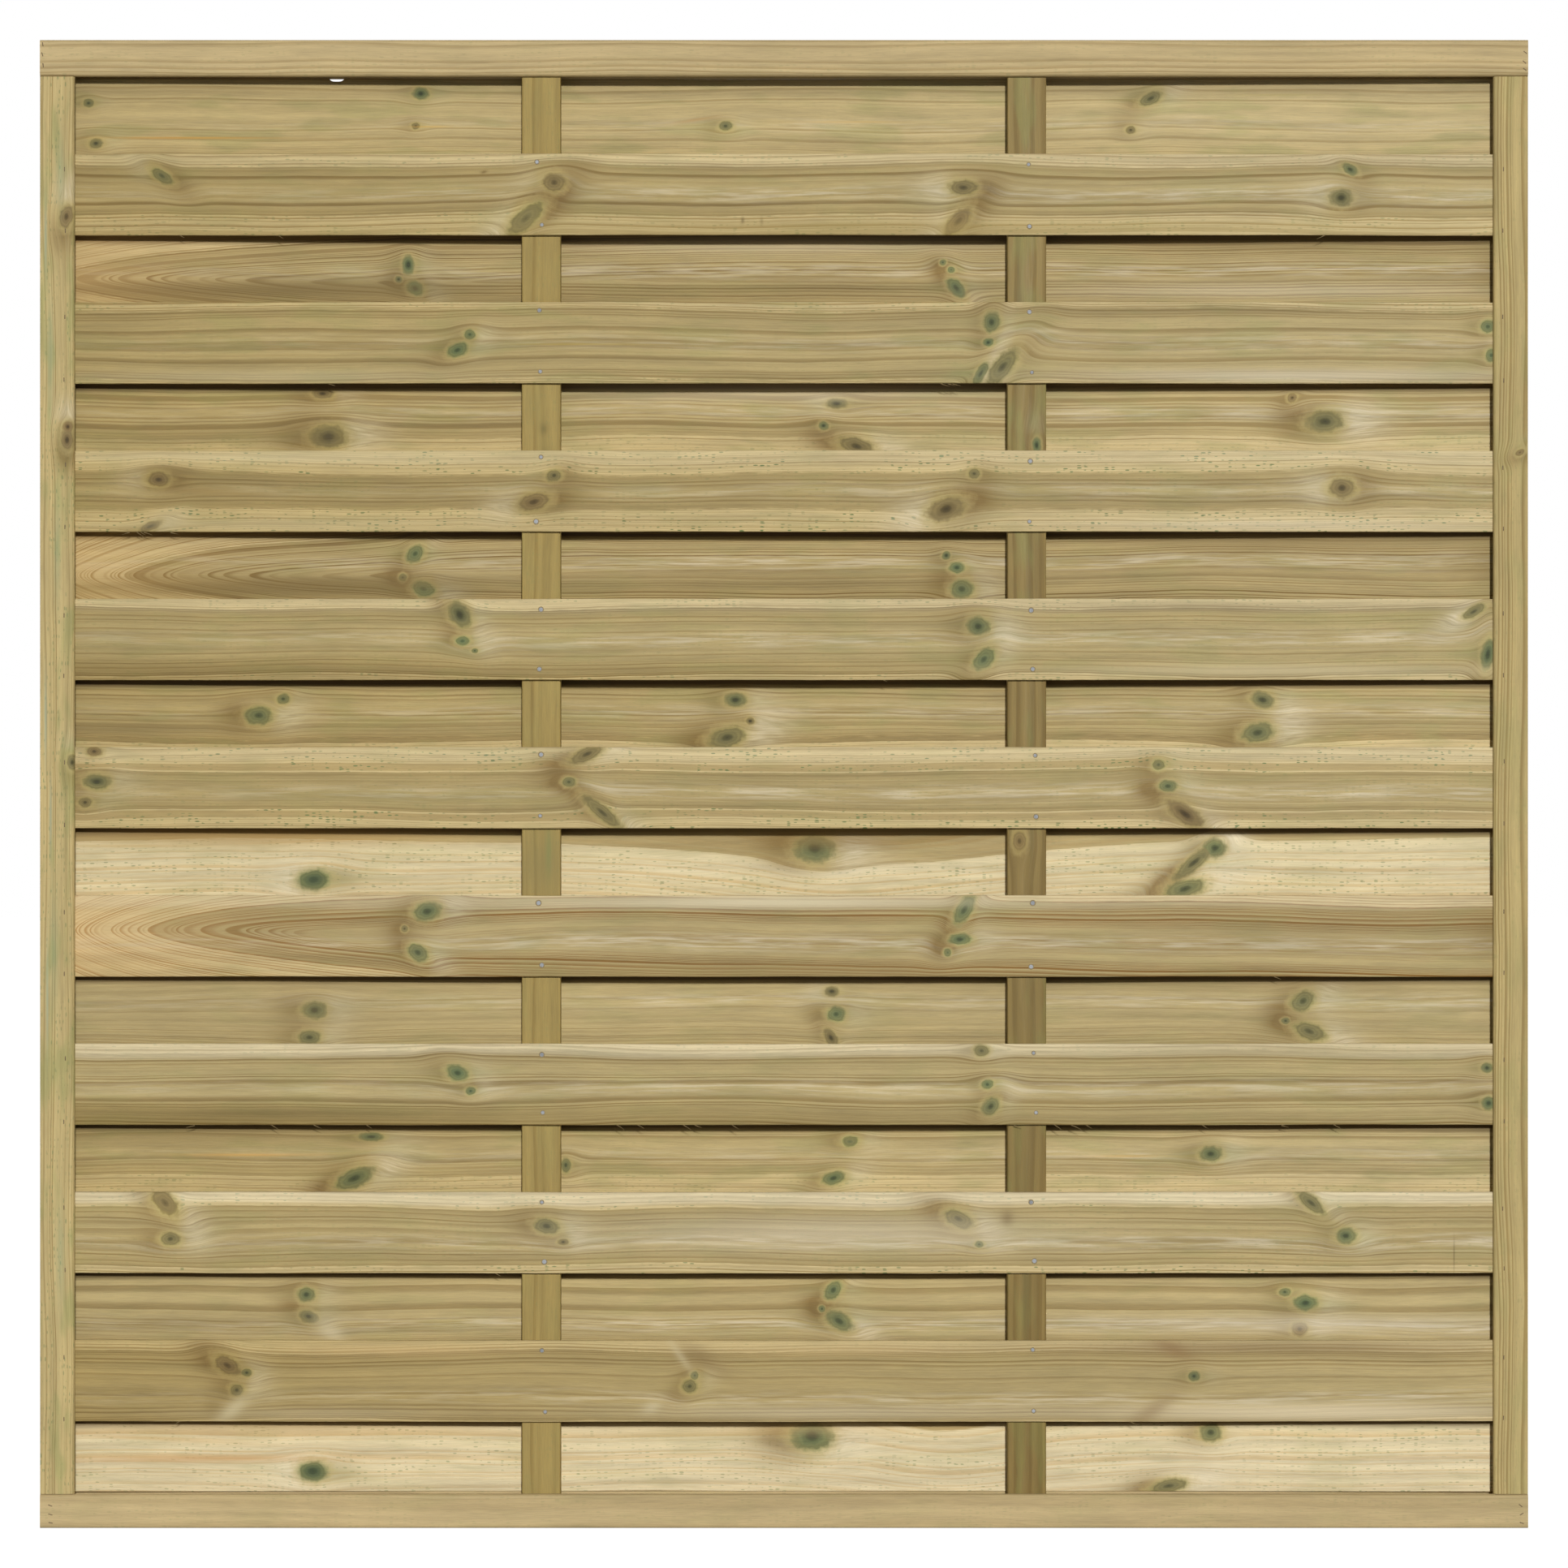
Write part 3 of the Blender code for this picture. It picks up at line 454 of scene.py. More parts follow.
def knot_group():
    """One knot. It bends the grain round itself and passes on what the knots before it did.

    Its traits are its turn, its green and its cloud. Flow is how far the grain is pushed across
    in mm, Nearest the distance from the nearest knot in its own radii, Hue how green that knot
    is, Shade the browning on one side of knots less the paleness on their other side, and Tail
    the green stain that runs along the grain from them.
    """
    own = [("Place", "Vector"), ("Centre", "Vector"), ("Radii", "Vector"),
           ("Traits", "Vector"), ("Lean", "Float"), ("Lumps", "Float")]
    node, given = new_group("pine_knot", own + KNOT_PASSED_SOCKETS, KNOT_PASSED_SOCKETS)
    turn, green, cloud = node("SeparateXYZ", (given["Traits"],)).outputs
    flat = node("VectorMath", (given["Place"], given["Centre"]), operation="SUBTRACT")
    turned = node("VectorRotate", {"Vector": flat, "Angle": turn},
                  rotation_type="Z_AXIS", invert=True)
    in_radii = node("VectorMath", (turned, given["Radii"]), operation="DIVIDE")
    distance = node("VectorMath", (in_radii,), operation="LENGTH")
    outline = node("Math", (distance, given["Lumps"]), operation="MULTIPLY")
    nearest = node("Math", (outline, given["Nearest"]), operation="MINIMUM")
    closer = node("Math", (outline, given["Nearest"]), operation="LESS_THAN")
    hue = node("Mix", (closer, given["Hue"], green))

    reach = node("VectorMath", (given["Radii"], BEND_TIMES, BEND_MORE),
                 operation="MULTIPLY_ADD")
    near = add_bell(node, turned, reach)
    offsets = node("SeparateXYZ", (flat,)).outputs
    push = node("Math", (offsets[Y], near), operation="MULTIPLY")
    flow = node("Math", (push, BEND_STRENGTH, given["Flow"]), operation="MULTIPLY_ADD")

    aside = node("Math", (offsets[X], given["Lean"]), operation="MULTIPLY")
    brown = node("Math", (aside, BROWNING_SLOPE, BROWNING), operation="MULTIPLY_ADD")
    brown_near = node("Math", (brown, near), operation="MULTIPLY")
    shade = node("Math", (brown_near, cloud, given["Shade"]), operation="MULTIPLY_ADD")

    tail_size = node("VectorMath", (given["Radii"], TAIL_TIMES, TAIL_MORE),
                     operation="MULTIPLY_ADD")
    tail_near = add_bell(node, flat, tail_size)
    tail = node("Math", (tail_near, green, given["Tail"]), operation="MULTIPLY_ADD")
    node("NodeGroupOutput", (flow, nearest, hue, shade, tail))


def knot_whorls(knots):
    """Knots gathered into whorls, which are groups that lie close together along the board."""
    whorls = []
    for knot in sorted(knots):
        if not whorls or knot.along - whorls[-1][-1].along > KNOT_GAP:
            whorls.append([])
        whorls[-1].append(knot)
    return whorls


def add_knots(node, place, knots, lean):
    """The knots' effect at a place. Only the nearest whorl along the board is worked out."""
    passed = dict.fromkeys(KNOT_PASSED_ON, 0.0)
    passed["Nearest"] = FAR_FROM_KNOTS
    if not knots:
        return passed
    lumps = add_streaks(node, place, LUMPS)
    lumpy = node("Math", (lumps, LUMP_MOST, LUMP_LEAST), operation="MULTIPLY_ADD")
    whorls = knot_whorls(Knot(*values) for values in knots)
    along = node("SeparateXYZ", (place,))
    past = [node("Math", (along, (before[-1].along + after[0].along) / 2),
                 operation="GREATER_THAN") for before, after in zip(whorls, whorls[1:])]
    for slot in range(max(len(whorl) for whorl in whorls)):
        taken = [whorl[slot] if slot < len(whorl) else NO_KNOT for whorl in whorls]
        choices = {
            "Centre": [(knot.along, knot.across, 0.0) for knot in taken],
            "Radii": [(knot.half_long, knot.half_wide, 1.0) for knot in taken],
            "Traits": [(radians(knot.turn), knot.green, knot.cloud) for knot in taken]}
        values = {"Place": place, "Lean": float(lean), "Lumps": lumpy, **passed}
        for label, vectors in choices.items():
            chosen = vectors[0]
            for step, vector in zip(past, vectors[1:]):
                chosen = node("Mix", (step, chosen, vector), data_type="VECTOR")
            values[label] = chosen
        knot = node("Group", values, node_tree=bpy.data.node_groups["pine_knot"])
        passed = {label: knot.outputs[label] for label in KNOT_PASSED_ON}
    return passed


def mark_group():
    """A soft-edged mark that tints the wood."""
    node, given = new_group("wood_mark", (
        ("Colour", "Color"), ("Place", "Vector"), ("Centre", "Vector"), ("Radii", "Vector"),
        ("Turn", "Float"), ("Mark", "Color"), ("Strength", "Float")), (("Colour", "Color"),))
    flat = node("VectorMath", (given["Place"], given["Centre"]), operation="SUBTRACT")
    turned = node("VectorRotate", {"Vector": flat, "Angle": given["Turn"]},
                  rotation_type="Z_AXIS", invert=True)
    near = add_bell(node, turned, given["Radii"])
    share = node("Math", (near, given["Strength"]), operation="MULTIPLY")
    marked = node("Mix", (share, given["Colour"], given["Mark"]), **BLEND)
    node("NodeGroupOutput", (marked,))


# The pine group's inputs that are named as a board's own values, and those that take a colour
# of the panel's
BOARD_INPUTS = ("seed", "pith", "depth", "drift", "ring", "heart", "rise", "rise_length", "dip",
                "dip_at", "dip_length", "heartwood", "lines", "silver", "silver_at", "flecks",
                "green", "left", "top", "low", "shelter")
COLOUR_INPUTS = {"Sap Colour": "sapwood", "Line Colour": "ring_line",
                 "Heart Colour": "heartwood", "Silver Colour": "silver",
                 "Fleck Colour": "resin_fleck", "Green Colour": "treatment",
                 "Cloud Colour": "knot_cloud", "Halo Colour": "knot_halo"}

# What the wood's colour is multiplied by just inside the heartwood's edge, in the painted shade of
# the lower strip and of the left end, and in the painted shadow where a front slat laps over it, and
# what the upper strip is mixed with for its painted sheen
RIM_TINT = "D0C6B2"
PAINTED_LOW_SHADE_TINT = "E2DCC8"
PAINTED_LEFT_SHADE_TINT = "E7E1CD"
PAINTED_LAP_SHADOW_TINT = "6C5E44"
PAINTED_SHEEN_COLOUR = "E4DABE"

# The upper strip's painted sheen and the lower one's painted shade start at the first of these
# millimetres from the board's middle, and both are at their most at the second
PAINTED_SHEEN_STRIP = (30.0, 38.0)
PAINTED_LOW_SHADE_STRIP = (-12.0, -34.0)

# The strip with the lap's painted shadow, and how far inwards it runs on over the board's upper edge
PAINTED_LAP_SHADOW_STRIP = (26.0, 34.0)
PAINTED_LAP_SHADOW_INWARDS = (2.5, 0.5)

# Along the board, where the low strip's painted shade, the left end's painted shade and the dearth
# of the silver's painted sheen fade out
PAINTED_LOW_SHADE_FADE = (100.0, 1600.0)
PAINTED_LEFT_SHADE_FADE = (0.0, 1500.0)
SILVER_FADE = (200.0, 800.0)

# Half the width over which the silvery streaks of painted sheen lie, their noise's edge, and their
# strength at the left and at the right
SILVER_REACH = 8.5
SILVER_EDGE = (0.38, 0.72)
SILVER_MOST = (0.35, 0.75)

# How far the grain wanders and ripples across
WANDER_MM = 11.0
WANDER_SHIFT = -6.2
RIPPLE_MM = 1.4

# How much of a noise's cell a millimetre of radius is, and how far it shifts a ring
YEAR_STRETCH = 0.11
YEAR_MM = 9.0

# Shares of a ring between which its dark line comes up, and falls off outwards
LATE_START = (0.30, 0.82)
LATE_END = (1.0, 0.92)

# The weakest ring's line against the strongest, and how clear the lines are at the pith, where
# they clear up over these millimetres
WEAK_LINE = 0.15
PITH_LINE = 0.35
PITH_CLEAR = (1.0, 8.0)

# How far the fibres fray the heartwood's edge, how far out that edge and its dark rim lie, and
# how dark the rim is
HEART_FRAY = 2.4
HEART_EDGE = (6.8, 5.2)
HEART_RIM = (-9.0, 4.0)
RIM_MOST = 0.32

# Edges of the noises that set the preservative's patches and the flecks, and their strengths
STAIN_EDGE = (0.48, 0.70)
STAIN_MOST = 0.5
TAIL_MOST = 0.9
FLECK_PICK = (0.52, 1.0)
FLECK_RADIUS = 0.42
FLECK_EDGE = 0.12
FLECK_PATCH = (0.38, 0.58)
FLECK_IN_HEART = 0.25

# The strengths of the two strips' painted sheen and painted shade
PAINTED_SHEEN_MOST = 0.18
PAINTED_LOW_SHADE_MOST = 0.9

# Browned wood is broken up by the mottling. A knot's halo and its wood start at these radii
CLOUD_MOTTLE = (0.3, 0.7)
CLOUD_BREAK = (0.6, 1.25)
CLOUD_MOST = 0.85
PALE_MOST = -2.0
HALO_EDGE = (1.9, 1.2)
HALO_MOST = 0.45
KNOT_EDGE = (1.40, 0.72)

# How far the mottling draws out a knot's core, and the knot's own rings, as radians to a radius
CORE_SHIFT = 0.36
CORE_MIDDLE = -0.17
KNOT_RINGS = 21.0
KNOT_RING_LIGHT = 0.07

# Lightness and roughness: a base, and what the fibres, the bands and the mottling add to it
LIGHT_BASE = 0.50
FIBRE_LIGHT = 0.34
BAND_LIGHT = 0.36
MOTTLE_LIGHT = 0.30
ROUGH_BASE = 0.52
FIBRE_ROUGH = 0.20

# A knot's colours, by how many of its radii out they lie, halved
KNOT_STOPS = (0.0, 0.10, 0.22, 0.36, 0.46, 0.54, 0.62)
BROWN_KNOT = ("443620", "5E4C2E", "806A44", "8A754C", "826E46", "96824F", "AE9C66")
GREEN_KNOT = ("3A432E", "4C583A", "69744E", "74794F", "6C7248", "888C58", "A4A06C")


def add_grain(node, given):
    """The grain's own place in mm, along and across, once wandering and knots are allowed for.

    It runs on round the board's edges, because the inward way is added to the way across.
    """
    at = node("SeparateXYZ", (given["Place"],)).outputs
    round_edge = node("Math", (at[Z], EDGE_TURN, at[Y]), operation="MULTIPLY_ADD")
    flat = node("CombineXYZ", (at[X], round_edge))
    shift = node("VectorMath", (SEED_SHIFT, given["seed"]), operation="SCALE")
    moved = node("VectorMath", (flat, shift), operation="ADD")
    wander = add_streaks(node, moved, WANDER)
    wander_mm = node("Math", (wander, WANDER_MM, WANDER_SHIFT), operation="MULTIPLY_ADD")
    ripple = add_streaks(node, moved, RIPPLE)
    ripple_mm = node("Math", (ripple, RIPPLE_MM, wander_mm), operation="MULTIPLY_ADD")
    unbent = node("Math", (at[Y], given["Flow"]), operation="SUBTRACT")
    across = node("Math", (unbent, ripple_mm), operation="ADD")
    unrolled = node("Math", (at[Z], EDGE_TURN, across), operation="MULTIPLY_ADD")
    along_grain = node("CombineXYZ", (at[X], unrolled))
    grain = node("VectorMath", (along_grain, shift), operation="ADD")
    return at, across, grain


def add_rings(node, given, at, across):
    """How far out from the pith a point lies in mm, and how dark its growth ring's line is.

    The rings climb away from the pith towards the left end, which makes the arches of a
    flat-sawn board, and dip in one place, which lets the heartwood come up as a lens.
    """
    drift = node("Math", (given["drift"], 1 / MM), operation="MULTIPLY")
    pith = node("Math", (at[X], drift, given["pith"]), operation="MULTIPLY_ADD")
    from_pith = node("Math", (across, pith), operation="SUBTRACT")
    behind = node("Math", (at[Z], given["depth"]), operation="ADD")
    spoke = node("CombineXYZ", (0.0, from_pith, behind))
    spoke_length = node("VectorMath", (spoke,), operation="LENGTH")
    climb_at = node("Math", (at[X], given["rise_length"]), operation="DIVIDE")
    climb = node("Math", (BELL, climb_at), operation="POWER")
    climbed = node("Math", (climb, given["rise"], spoke_length), operation="MULTIPLY_ADD")
    dip_from = node("Math", (at[X], given["dip_at"]), operation="SUBTRACT")
    dip_in = node("Math", (dip_from, given["dip_length"]), operation="DIVIDE")
    dip_squared = node("Math", (dip_in, dip_in), operation="MULTIPLY")
    dip = node("Math", (BELL, dip_squared), operation="POWER")
    dip_mm = node("Math", (dip, given["dip"]), operation="MULTIPLY")
    radius = node("Math", (climbed, dip_mm), operation="SUBTRACT")

    # Rings differ in width from year to year. The dark latewood line ends sharply outwards
    year_at = node("Math", (radius, YEAR_STRETCH, given["seed"]), operation="MULTIPLY_ADD")
    years = node("TexNoise", {"W": year_at, "Scale": 1.0, "Detail": 1.0}, noise_dimensions="1D")
    uneven = node("Math", (years, YEAR_MM, radius), operation="MULTIPLY_ADD")
    ring = node("Math", (uneven, given["ring"]), operation="DIVIDE")
    in_ring = node("Math", (ring,), operation="FRACT")
    late = node("MapRange", (in_ring, *LATE_START), **SMOOTH)
    late_end = node("MapRange", (in_ring, *LATE_END), **SMOOTH)
    late_line = node("Math", (late, late_end), operation="MULTIPLY")
    ring_number = node("Math", (ring,), operation="FLOOR")
    ring_seed = node("Math", (given["seed"], SEED_RINGS, ring_number), operation="MULTIPLY_ADD")
    ring_random = node("TexWhiteNoise", (ring_seed,), noise_dimensions="1D")
    ring_weight = node("MapRange", (ring_random, 0.0, 1.0, WEAK_LINE, 1.0))
    weighted = node("Math", (late_line, ring_weight), operation="MULTIPLY")

    # The lines fade close to the pith, except where the rings climb
    aside = node("Math", (from_pith,), operation="ABSOLUTE")
    climb_mm = node("Math", (climb, given["rise"], aside), operation="MULTIPLY_ADD")
    clear = node("MapRange", (climb_mm, *PITH_CLEAR, PITH_LINE, 1.0), **SMOOTH)
    line = node("Math", (weighted, clear), operation="MULTIPLY")
    return uneven, line


def add_heartwood(node, given, fibre, radius, line):
    """Sapwood and heartwood with their ring lines, and how far a point is inside the heartwood.

    Heartwood ends at one ring, with a narrow soft edge, and is darkest just inside it.
    """
    frayed = node("Math", (fibre, HEART_FRAY, radius), operation="MULTIPLY_ADD")
    heart_depth = node("Math", (frayed, given["heart"]), operation="SUBTRACT")
    in_heart = node("MapRange", (heart_depth, *HEART_EDGE), **SMOOTH)
    heart = node("Math", (in_heart, given["heartwood"]), operation="MULTIPLY")
    wood = node("Mix", (heart, given["Sap Colour"], given["Heart Colour"]), **BLEND)
    rim = node("MapRange", (heart_depth, *HEART_RIM, 0.0, RIM_MOST), **SMOOTH)
    rim_share = node("Math", (rim, heart), operation="MULTIPLY")
    rimmed = node("Mix", (rim_share, wood, linear_colour(RIM_TINT)), **TINT)
    line_share = node("Math", (line, given["lines"]), operation="MULTIPLY")
    return node("Mix", (line_share, rimmed, given["Line Colour"]), **TINT), in_heart


def add_painted_silver_sheen(node, given, colour, at, across, grain):
    """Painted sheen: silvery streaks for the gloss where the plane has cut close along the pith, fewer
    towards the left.
    """
    silver_noise = add_streaks(node, grain, SILVER)
    silver_most = node("MapRange", (at[X], *SILVER_FADE, *SILVER_MOST))
    silver_patch = node("MapRange", (silver_noise, *SILVER_EDGE, 0.0, silver_most), **SMOOTH)
    silver_from = node("Math", (across, given["silver_at"]), operation="SUBTRACT")
    silver_in = node("Math", (silver_from, SILVER_REACH), operation="DIVIDE")
    silver_squared = node("Math", (silver_in, silver_in), operation="MULTIPLY")
    silver_near = node("Math", (BELL, silver_squared), operation="POWER")
    silver_place = node("Math", (silver_near, silver_patch), operation="MULTIPLY")
    share = node("Math", (silver_place, given["silver"]), operation="MULTIPLY")
    return node("Mix", (share, colour, given["Silver Colour"]), **BLEND)


def add_treatment(node, given, colour, fibre, grain):
    """Green of the copper treatment, in patches and in tails along the grain from the knots."""
    stain_noise = add_streaks(node, grain, STAIN)
    stain_patch = node("MapRange", (stain_noise, *STAIN_EDGE, 0.0, STAIN_MOST), **SMOOTH)
    stain = node("Math", (stain_patch, given["green"]), operation="MULTIPLY")
    tail = node("Math", (given["Tail"], fibre), operation="MULTIPLY")
    share = node("Math", (tail, TAIL_MOST, stain), operation="MULTIPLY_ADD", use_clamp=True)
    return node("Mix", (share, colour, given["Green Colour"]), **BLEND)


def add_flecks(node, given, colour, mottle, in_heart, grain):
    """Resin canals of the sapwood, turned green by the treatment."""
    fleck_at = node("VectorMath", (grain, FLECK_STRETCH), operation="MULTIPLY")
    cells = node("TexVoronoi", {"Vector": fleck_at, "Scale": 1.0}, voronoi_dimensions="2D")
    pick = node("SeparateXYZ", (cells.outputs["Color"],))
    size = node("MapRange", (pick, *FLECK_PICK, 0.0, FLECK_RADIUS))
    inside = node("Math", (size, cells.outputs["Distance"]), operation="SUBTRACT")
    fleck = node("MapRange", (inside, 0.0, FLECK_EDGE), **SMOOTH)
    patch = node("MapRange", (mottle, *FLECK_PATCH))
    in_patch = node("Math", (fleck, patch), operation="MULTIPLY")
    outside_heart = node("MapRange", (in_heart, 0.0, 1.0, 1.0, FLECK_IN_HEART))
    in_sap = node("Math", (in_patch, outside_heart), operation="MULTIPLY")
    share = node("Math", (in_sap, given["flecks"]), operation="MULTIPLY")
    return node("Mix", (share, colour, given["Fleck Colour"]), **BLEND)


def add_painted_strips(node, given, colour, at, across):
    """Painted sheen that pales the upper strip, and painted shade that darkens the lower part, most
    towards the left.
    """
    top_share = node("MapRange", (across, *PAINTED_SHEEN_STRIP, 0.0, PAINTED_SHEEN_MOST), **SMOOTH)
    top = node("Math", (top_share, given["top"]), operation="MULTIPLY")
    sheen_painted = node("Mix", (top, colour, linear_colour(PAINTED_SHEEN_COLOUR)), **BLEND)
    low_share = node("MapRange", (across, *PAINTED_LOW_SHADE_STRIP, 0.0, PAINTED_LOW_SHADE_MOST), **SMOOTH)
    low_fade = node("MapRange", (at[X], *PAINTED_LOW_SHADE_FADE, given["low"], 0.0))
    low = node("Math", (low_share, low_fade), operation="MULTIPLY")
    return node("Mix", (low, sheen_painted, linear_colour(PAINTED_LOW_SHADE_TINT)), **TINT)


def add_knot_wood(node, given, colour, mottle, fibre):
    """Browned or paler wood round the knots, their pale halo, and the knots themselves."""
    cloud_break = node("MapRange", (mottle, *CLOUD_MOTTLE, *CLOUD_BREAK))
    cloud = node("Math", (given["Shade"], cloud_break), operation="MULTIPLY", use_clamp=True)
    cloud_share = node("Math", (cloud, CLOUD_MOST), operation="MULTIPLY")
    clouded = node("Mix", (cloud_share, colour, given["Cloud Colour"]), **BLEND)
    pale_break = node("Math", (given["Shade"], fibre), operation="MULTIPLY")
    pale = node("Math", (pale_break, PALE_MOST), operation="MULTIPLY", use_clamp=True)
    paled = node("Mix", (pale, clouded, given["Silver Colour"]), **BLEND)
    halo = node("MapRange", (given["Nearest"], *HALO_EDGE, 0.0, HALO_MOST), **SMOOTH)
    haloed = node("Mix", (halo, paled, given["Halo Colour"]), **BLEND)

    # The dark core and the rim are drawn out unevenly by the mottling
    core_shift = node("Math", (mottle, CORE_SHIFT, CORE_MIDDLE), operation="MULTIPLY_ADD")
    knot_at = node("Math", (given["Nearest"], 0.5, core_shift), operation="MULTIPLY_ADD")
    ramps = []
    for colours in (BROWN_KNOT, GREEN_KNOT):
        ramps.append(node("ValToRGB", (knot_at,)))
        stops = ramps[-1].color_ramp.elements
        while len(stops) < len(KNOT_STOPS):
            stops.new(0.5)
        for stop, position, hex_colour in zip(stops, KNOT_STOPS, colours):
            stop.position = position
            stop.color = linear_colour(hex_colour)
    knot_wood = node("Mix", (given["Hue"], *ramps), **BLEND)
    wave_at = node("Math", (given["Nearest"], KNOT_RINGS), operation="MULTIPLY")
    wave = node("Math", (wave_at,), operation="SINE")
    light = node("Math", (wave, KNOT_RING_LIGHT, 1.0), operation="MULTIPLY_ADD")
    ringed = node("VectorMath", (knot_wood, light), operation="SCALE")
    in_knot = node("MapRange", (given["Nearest"], *KNOT_EDGE), **SMOOTH)
    return node("Mix", (in_knot, haloed, ringed), **BLEND)


def add_painted_lap_shadow(node, given, colour, at):
    """Painted shadow on the strip that a front slat laps over and shades."""
    on_face = node("MapRange", (at[Z], *PAINTED_LAP_SHADOW_INWARDS, 0.0, given["shelter"]))
    share = node("MapRange", (at[Y], *PAINTED_LAP_SHADOW_STRIP, 0.0, on_face))
    return node("Mix", (share, colour, linear_colour(PAINTED_LAP_SHADOW_TINT)), **TINT)


def pine_group():
    """Growth rings of a tree, cut by the board's faces, with what treatment and knots add.

    A point's distance from the pith gives its ring, so the same rings run on over the board's
    edges and ends.
    """
    inputs = [("Place", "Vector"), ("Tint", "Vector"), *KNOT_PASSED_SOCKETS,
              *((name, "Float") for name in BOARD_INPUTS),
              *((label, "Color") for label in COLOUR_INPUTS)]
    node, given = new_group("treated_pine", inputs,
                            (("Colour", "Color"), ("Roughness", "Float")))
    at, across, grain = add_grain(node, given)
    radius, line = add_rings(node, given, at, across)
    fibre, band, mottle = (add_streaks(node, grain, kind) for kind in (FIBRE, BAND, MOTTLE))
    wood, in_heart = add_heartwood(node, given, fibre, radius, line)
    silver_sheened = add_painted_silver_sheen(node, given, wood, at, across, grain)
    stained = add_treatment(node, given, silver_sheened, fibre, grain)
    flecked = add_flecks(node, given, stained, mottle, in_heart, grain)
    striped = add_painted_strips(node, given, flecked, at, across)
    knotted = add_knot_wood(node, given, striped, mottle, fibre)

    # Light and dark from the fibres, the bands and the mottling, and the board's own tint
    fibre_light = node("Math", (fibre, FIBRE_LIGHT, LIGHT_BASE), operation="MULTIPLY_ADD")
    band_light = node("Math", (band, BAND_LIGHT, fibre_light), operation="MULTIPLY_ADD")
    light = node("Math", (mottle, MOTTLE_LIGHT, band_light), operation="MULTIPLY_ADD")
    lit = node("VectorMath", (knotted, light), operation="SCALE")
    tinted = node("VectorMath", (lit, given["Tint"]), operation="MULTIPLY")
    # Painted shade that darkens and yellows the board's left end
    left = node("MapRange", (at[X], *PAINTED_LEFT_SHADE_FADE, given["left"], 0.0))
    left_shaded = node("Mix", (left, tinted, linear_colour(PAINTED_LEFT_SHADE_TINT)), **TINT)
    # Painted shadow on the strip that a front slat laps over
    lap_shadowed = add_painted_lap_shadow(node, given, left_shaded, at)
    rough = node("Math", (fibre, FIBRE_ROUGH, ROUGH_BASE), operation="MULTIPLY_ADD")
    node("NodeGroupOutput", (lap_shadowed, rough))


# How far a board's warmth shifts its red up and its blue down
WARM_RED = 0.10
WARM_BLUE = 0.12

# How strongly and how high the fibres stand up, and how little the dull sheen reflects
RIDGE_STRENGTH = 0.45
RIDGE_HEIGHT = 0.0005
SHEEN = 0.15


def timber_material(name, board, place_of):
    """Pressure-treated pine, planed: straw to olive, with brown-green rings and a dull sheen.

    place_of adds the nodes that give the board's own place in mm: along, across and inwards.
    """
    timber = bpy.context.scene.panel_colours
    material, node = new_material(name)
    place = place_of(node)
    on_face = node("VectorMath", (place, (1.0, 1.0, 0.0)), operation="MULTIPLY")
    values = {label: getattr(timber, colour) for label, colour in COLOUR_INPUTS.items()}
    for label, hex_colour in (("Sap Colour", board.sap), ("Line Colour", board.line)):
        if hex_colour:
            values[label] = linear_colour(hex_colour)
    values.update({field: getattr(board, field) for field in BOARD_INPUTS})
    values.update(add_knots(node, on_face, board.knots, board.lean))
    values["Place"] = place
    values["Tint"] = (board.light * (1 + WARM_RED * board.warm), board.light,
                      board.light * (1 - WARM_BLUE * board.warm))
    wood = node("Group", values, node_tree=bpy.data.node_groups["treated_pine"])
    colour = wood.outputs["Colour"]
    for mark in (Mark(*row) for row in board.marks):
        colour = node("Group", {
            "Colour": colour, "Place": on_face, "Centre": (mark.along, mark.across, 0.0),
            "Radii": (mark.half_long, mark.half_wide, 1.0), "Turn": radians(mark.turn),
            "Mark": linear_colour(mark.colour), "Strength": mark.strength},
            node_tree=bpy.data.node_groups["wood_mark"])
    ridges = add_streaks(node, on_face, RIDGES)
    bump = node("Bump", {"Height": ridges, "Strength": RIDGE_STRENGTH,
                         "Distance": RIDGE_HEIGHT})
    shader = node("BsdfPrincipled", {
        "Base Color": colour, "Roughness": wood.outputs["Roughness"], "Normal": bump,
        "Specular IOR Level": SHEEN})
    node("OutputMaterial", {"Surface": shader})
    return material


def slat_place(node):
    """The place on a slat, which its mesh holds."""
    return node("Attribute", attribute_name=PLACE).outputs["Vector"]


def middle(name, axis):
    """The middle of a CAD piece's box along an axis."""
    low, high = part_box(name)
    return (low[axis] + high[axis]) / 2


def member_place(name, along):
    """The place on a rail, stile or batten that lies along the given axis, worked out by nodes."""
    across = Z if along == X else X
    start = (PANEL_LOW[along], middle(name, across), RAIL_FRONT)

    def place_of(node):
        axes = node("SeparateXYZ", (node("TexCoord").outputs["Object"],)).outputs
        turned = node("CombineXYZ", (axes[along], axes[across], axes[Y]))
        return node("VectorMath", (turned, (MM, MM, MM), [-MM * value for value in start]),
                    operation="MULTIPLY_ADD")
    return place_of


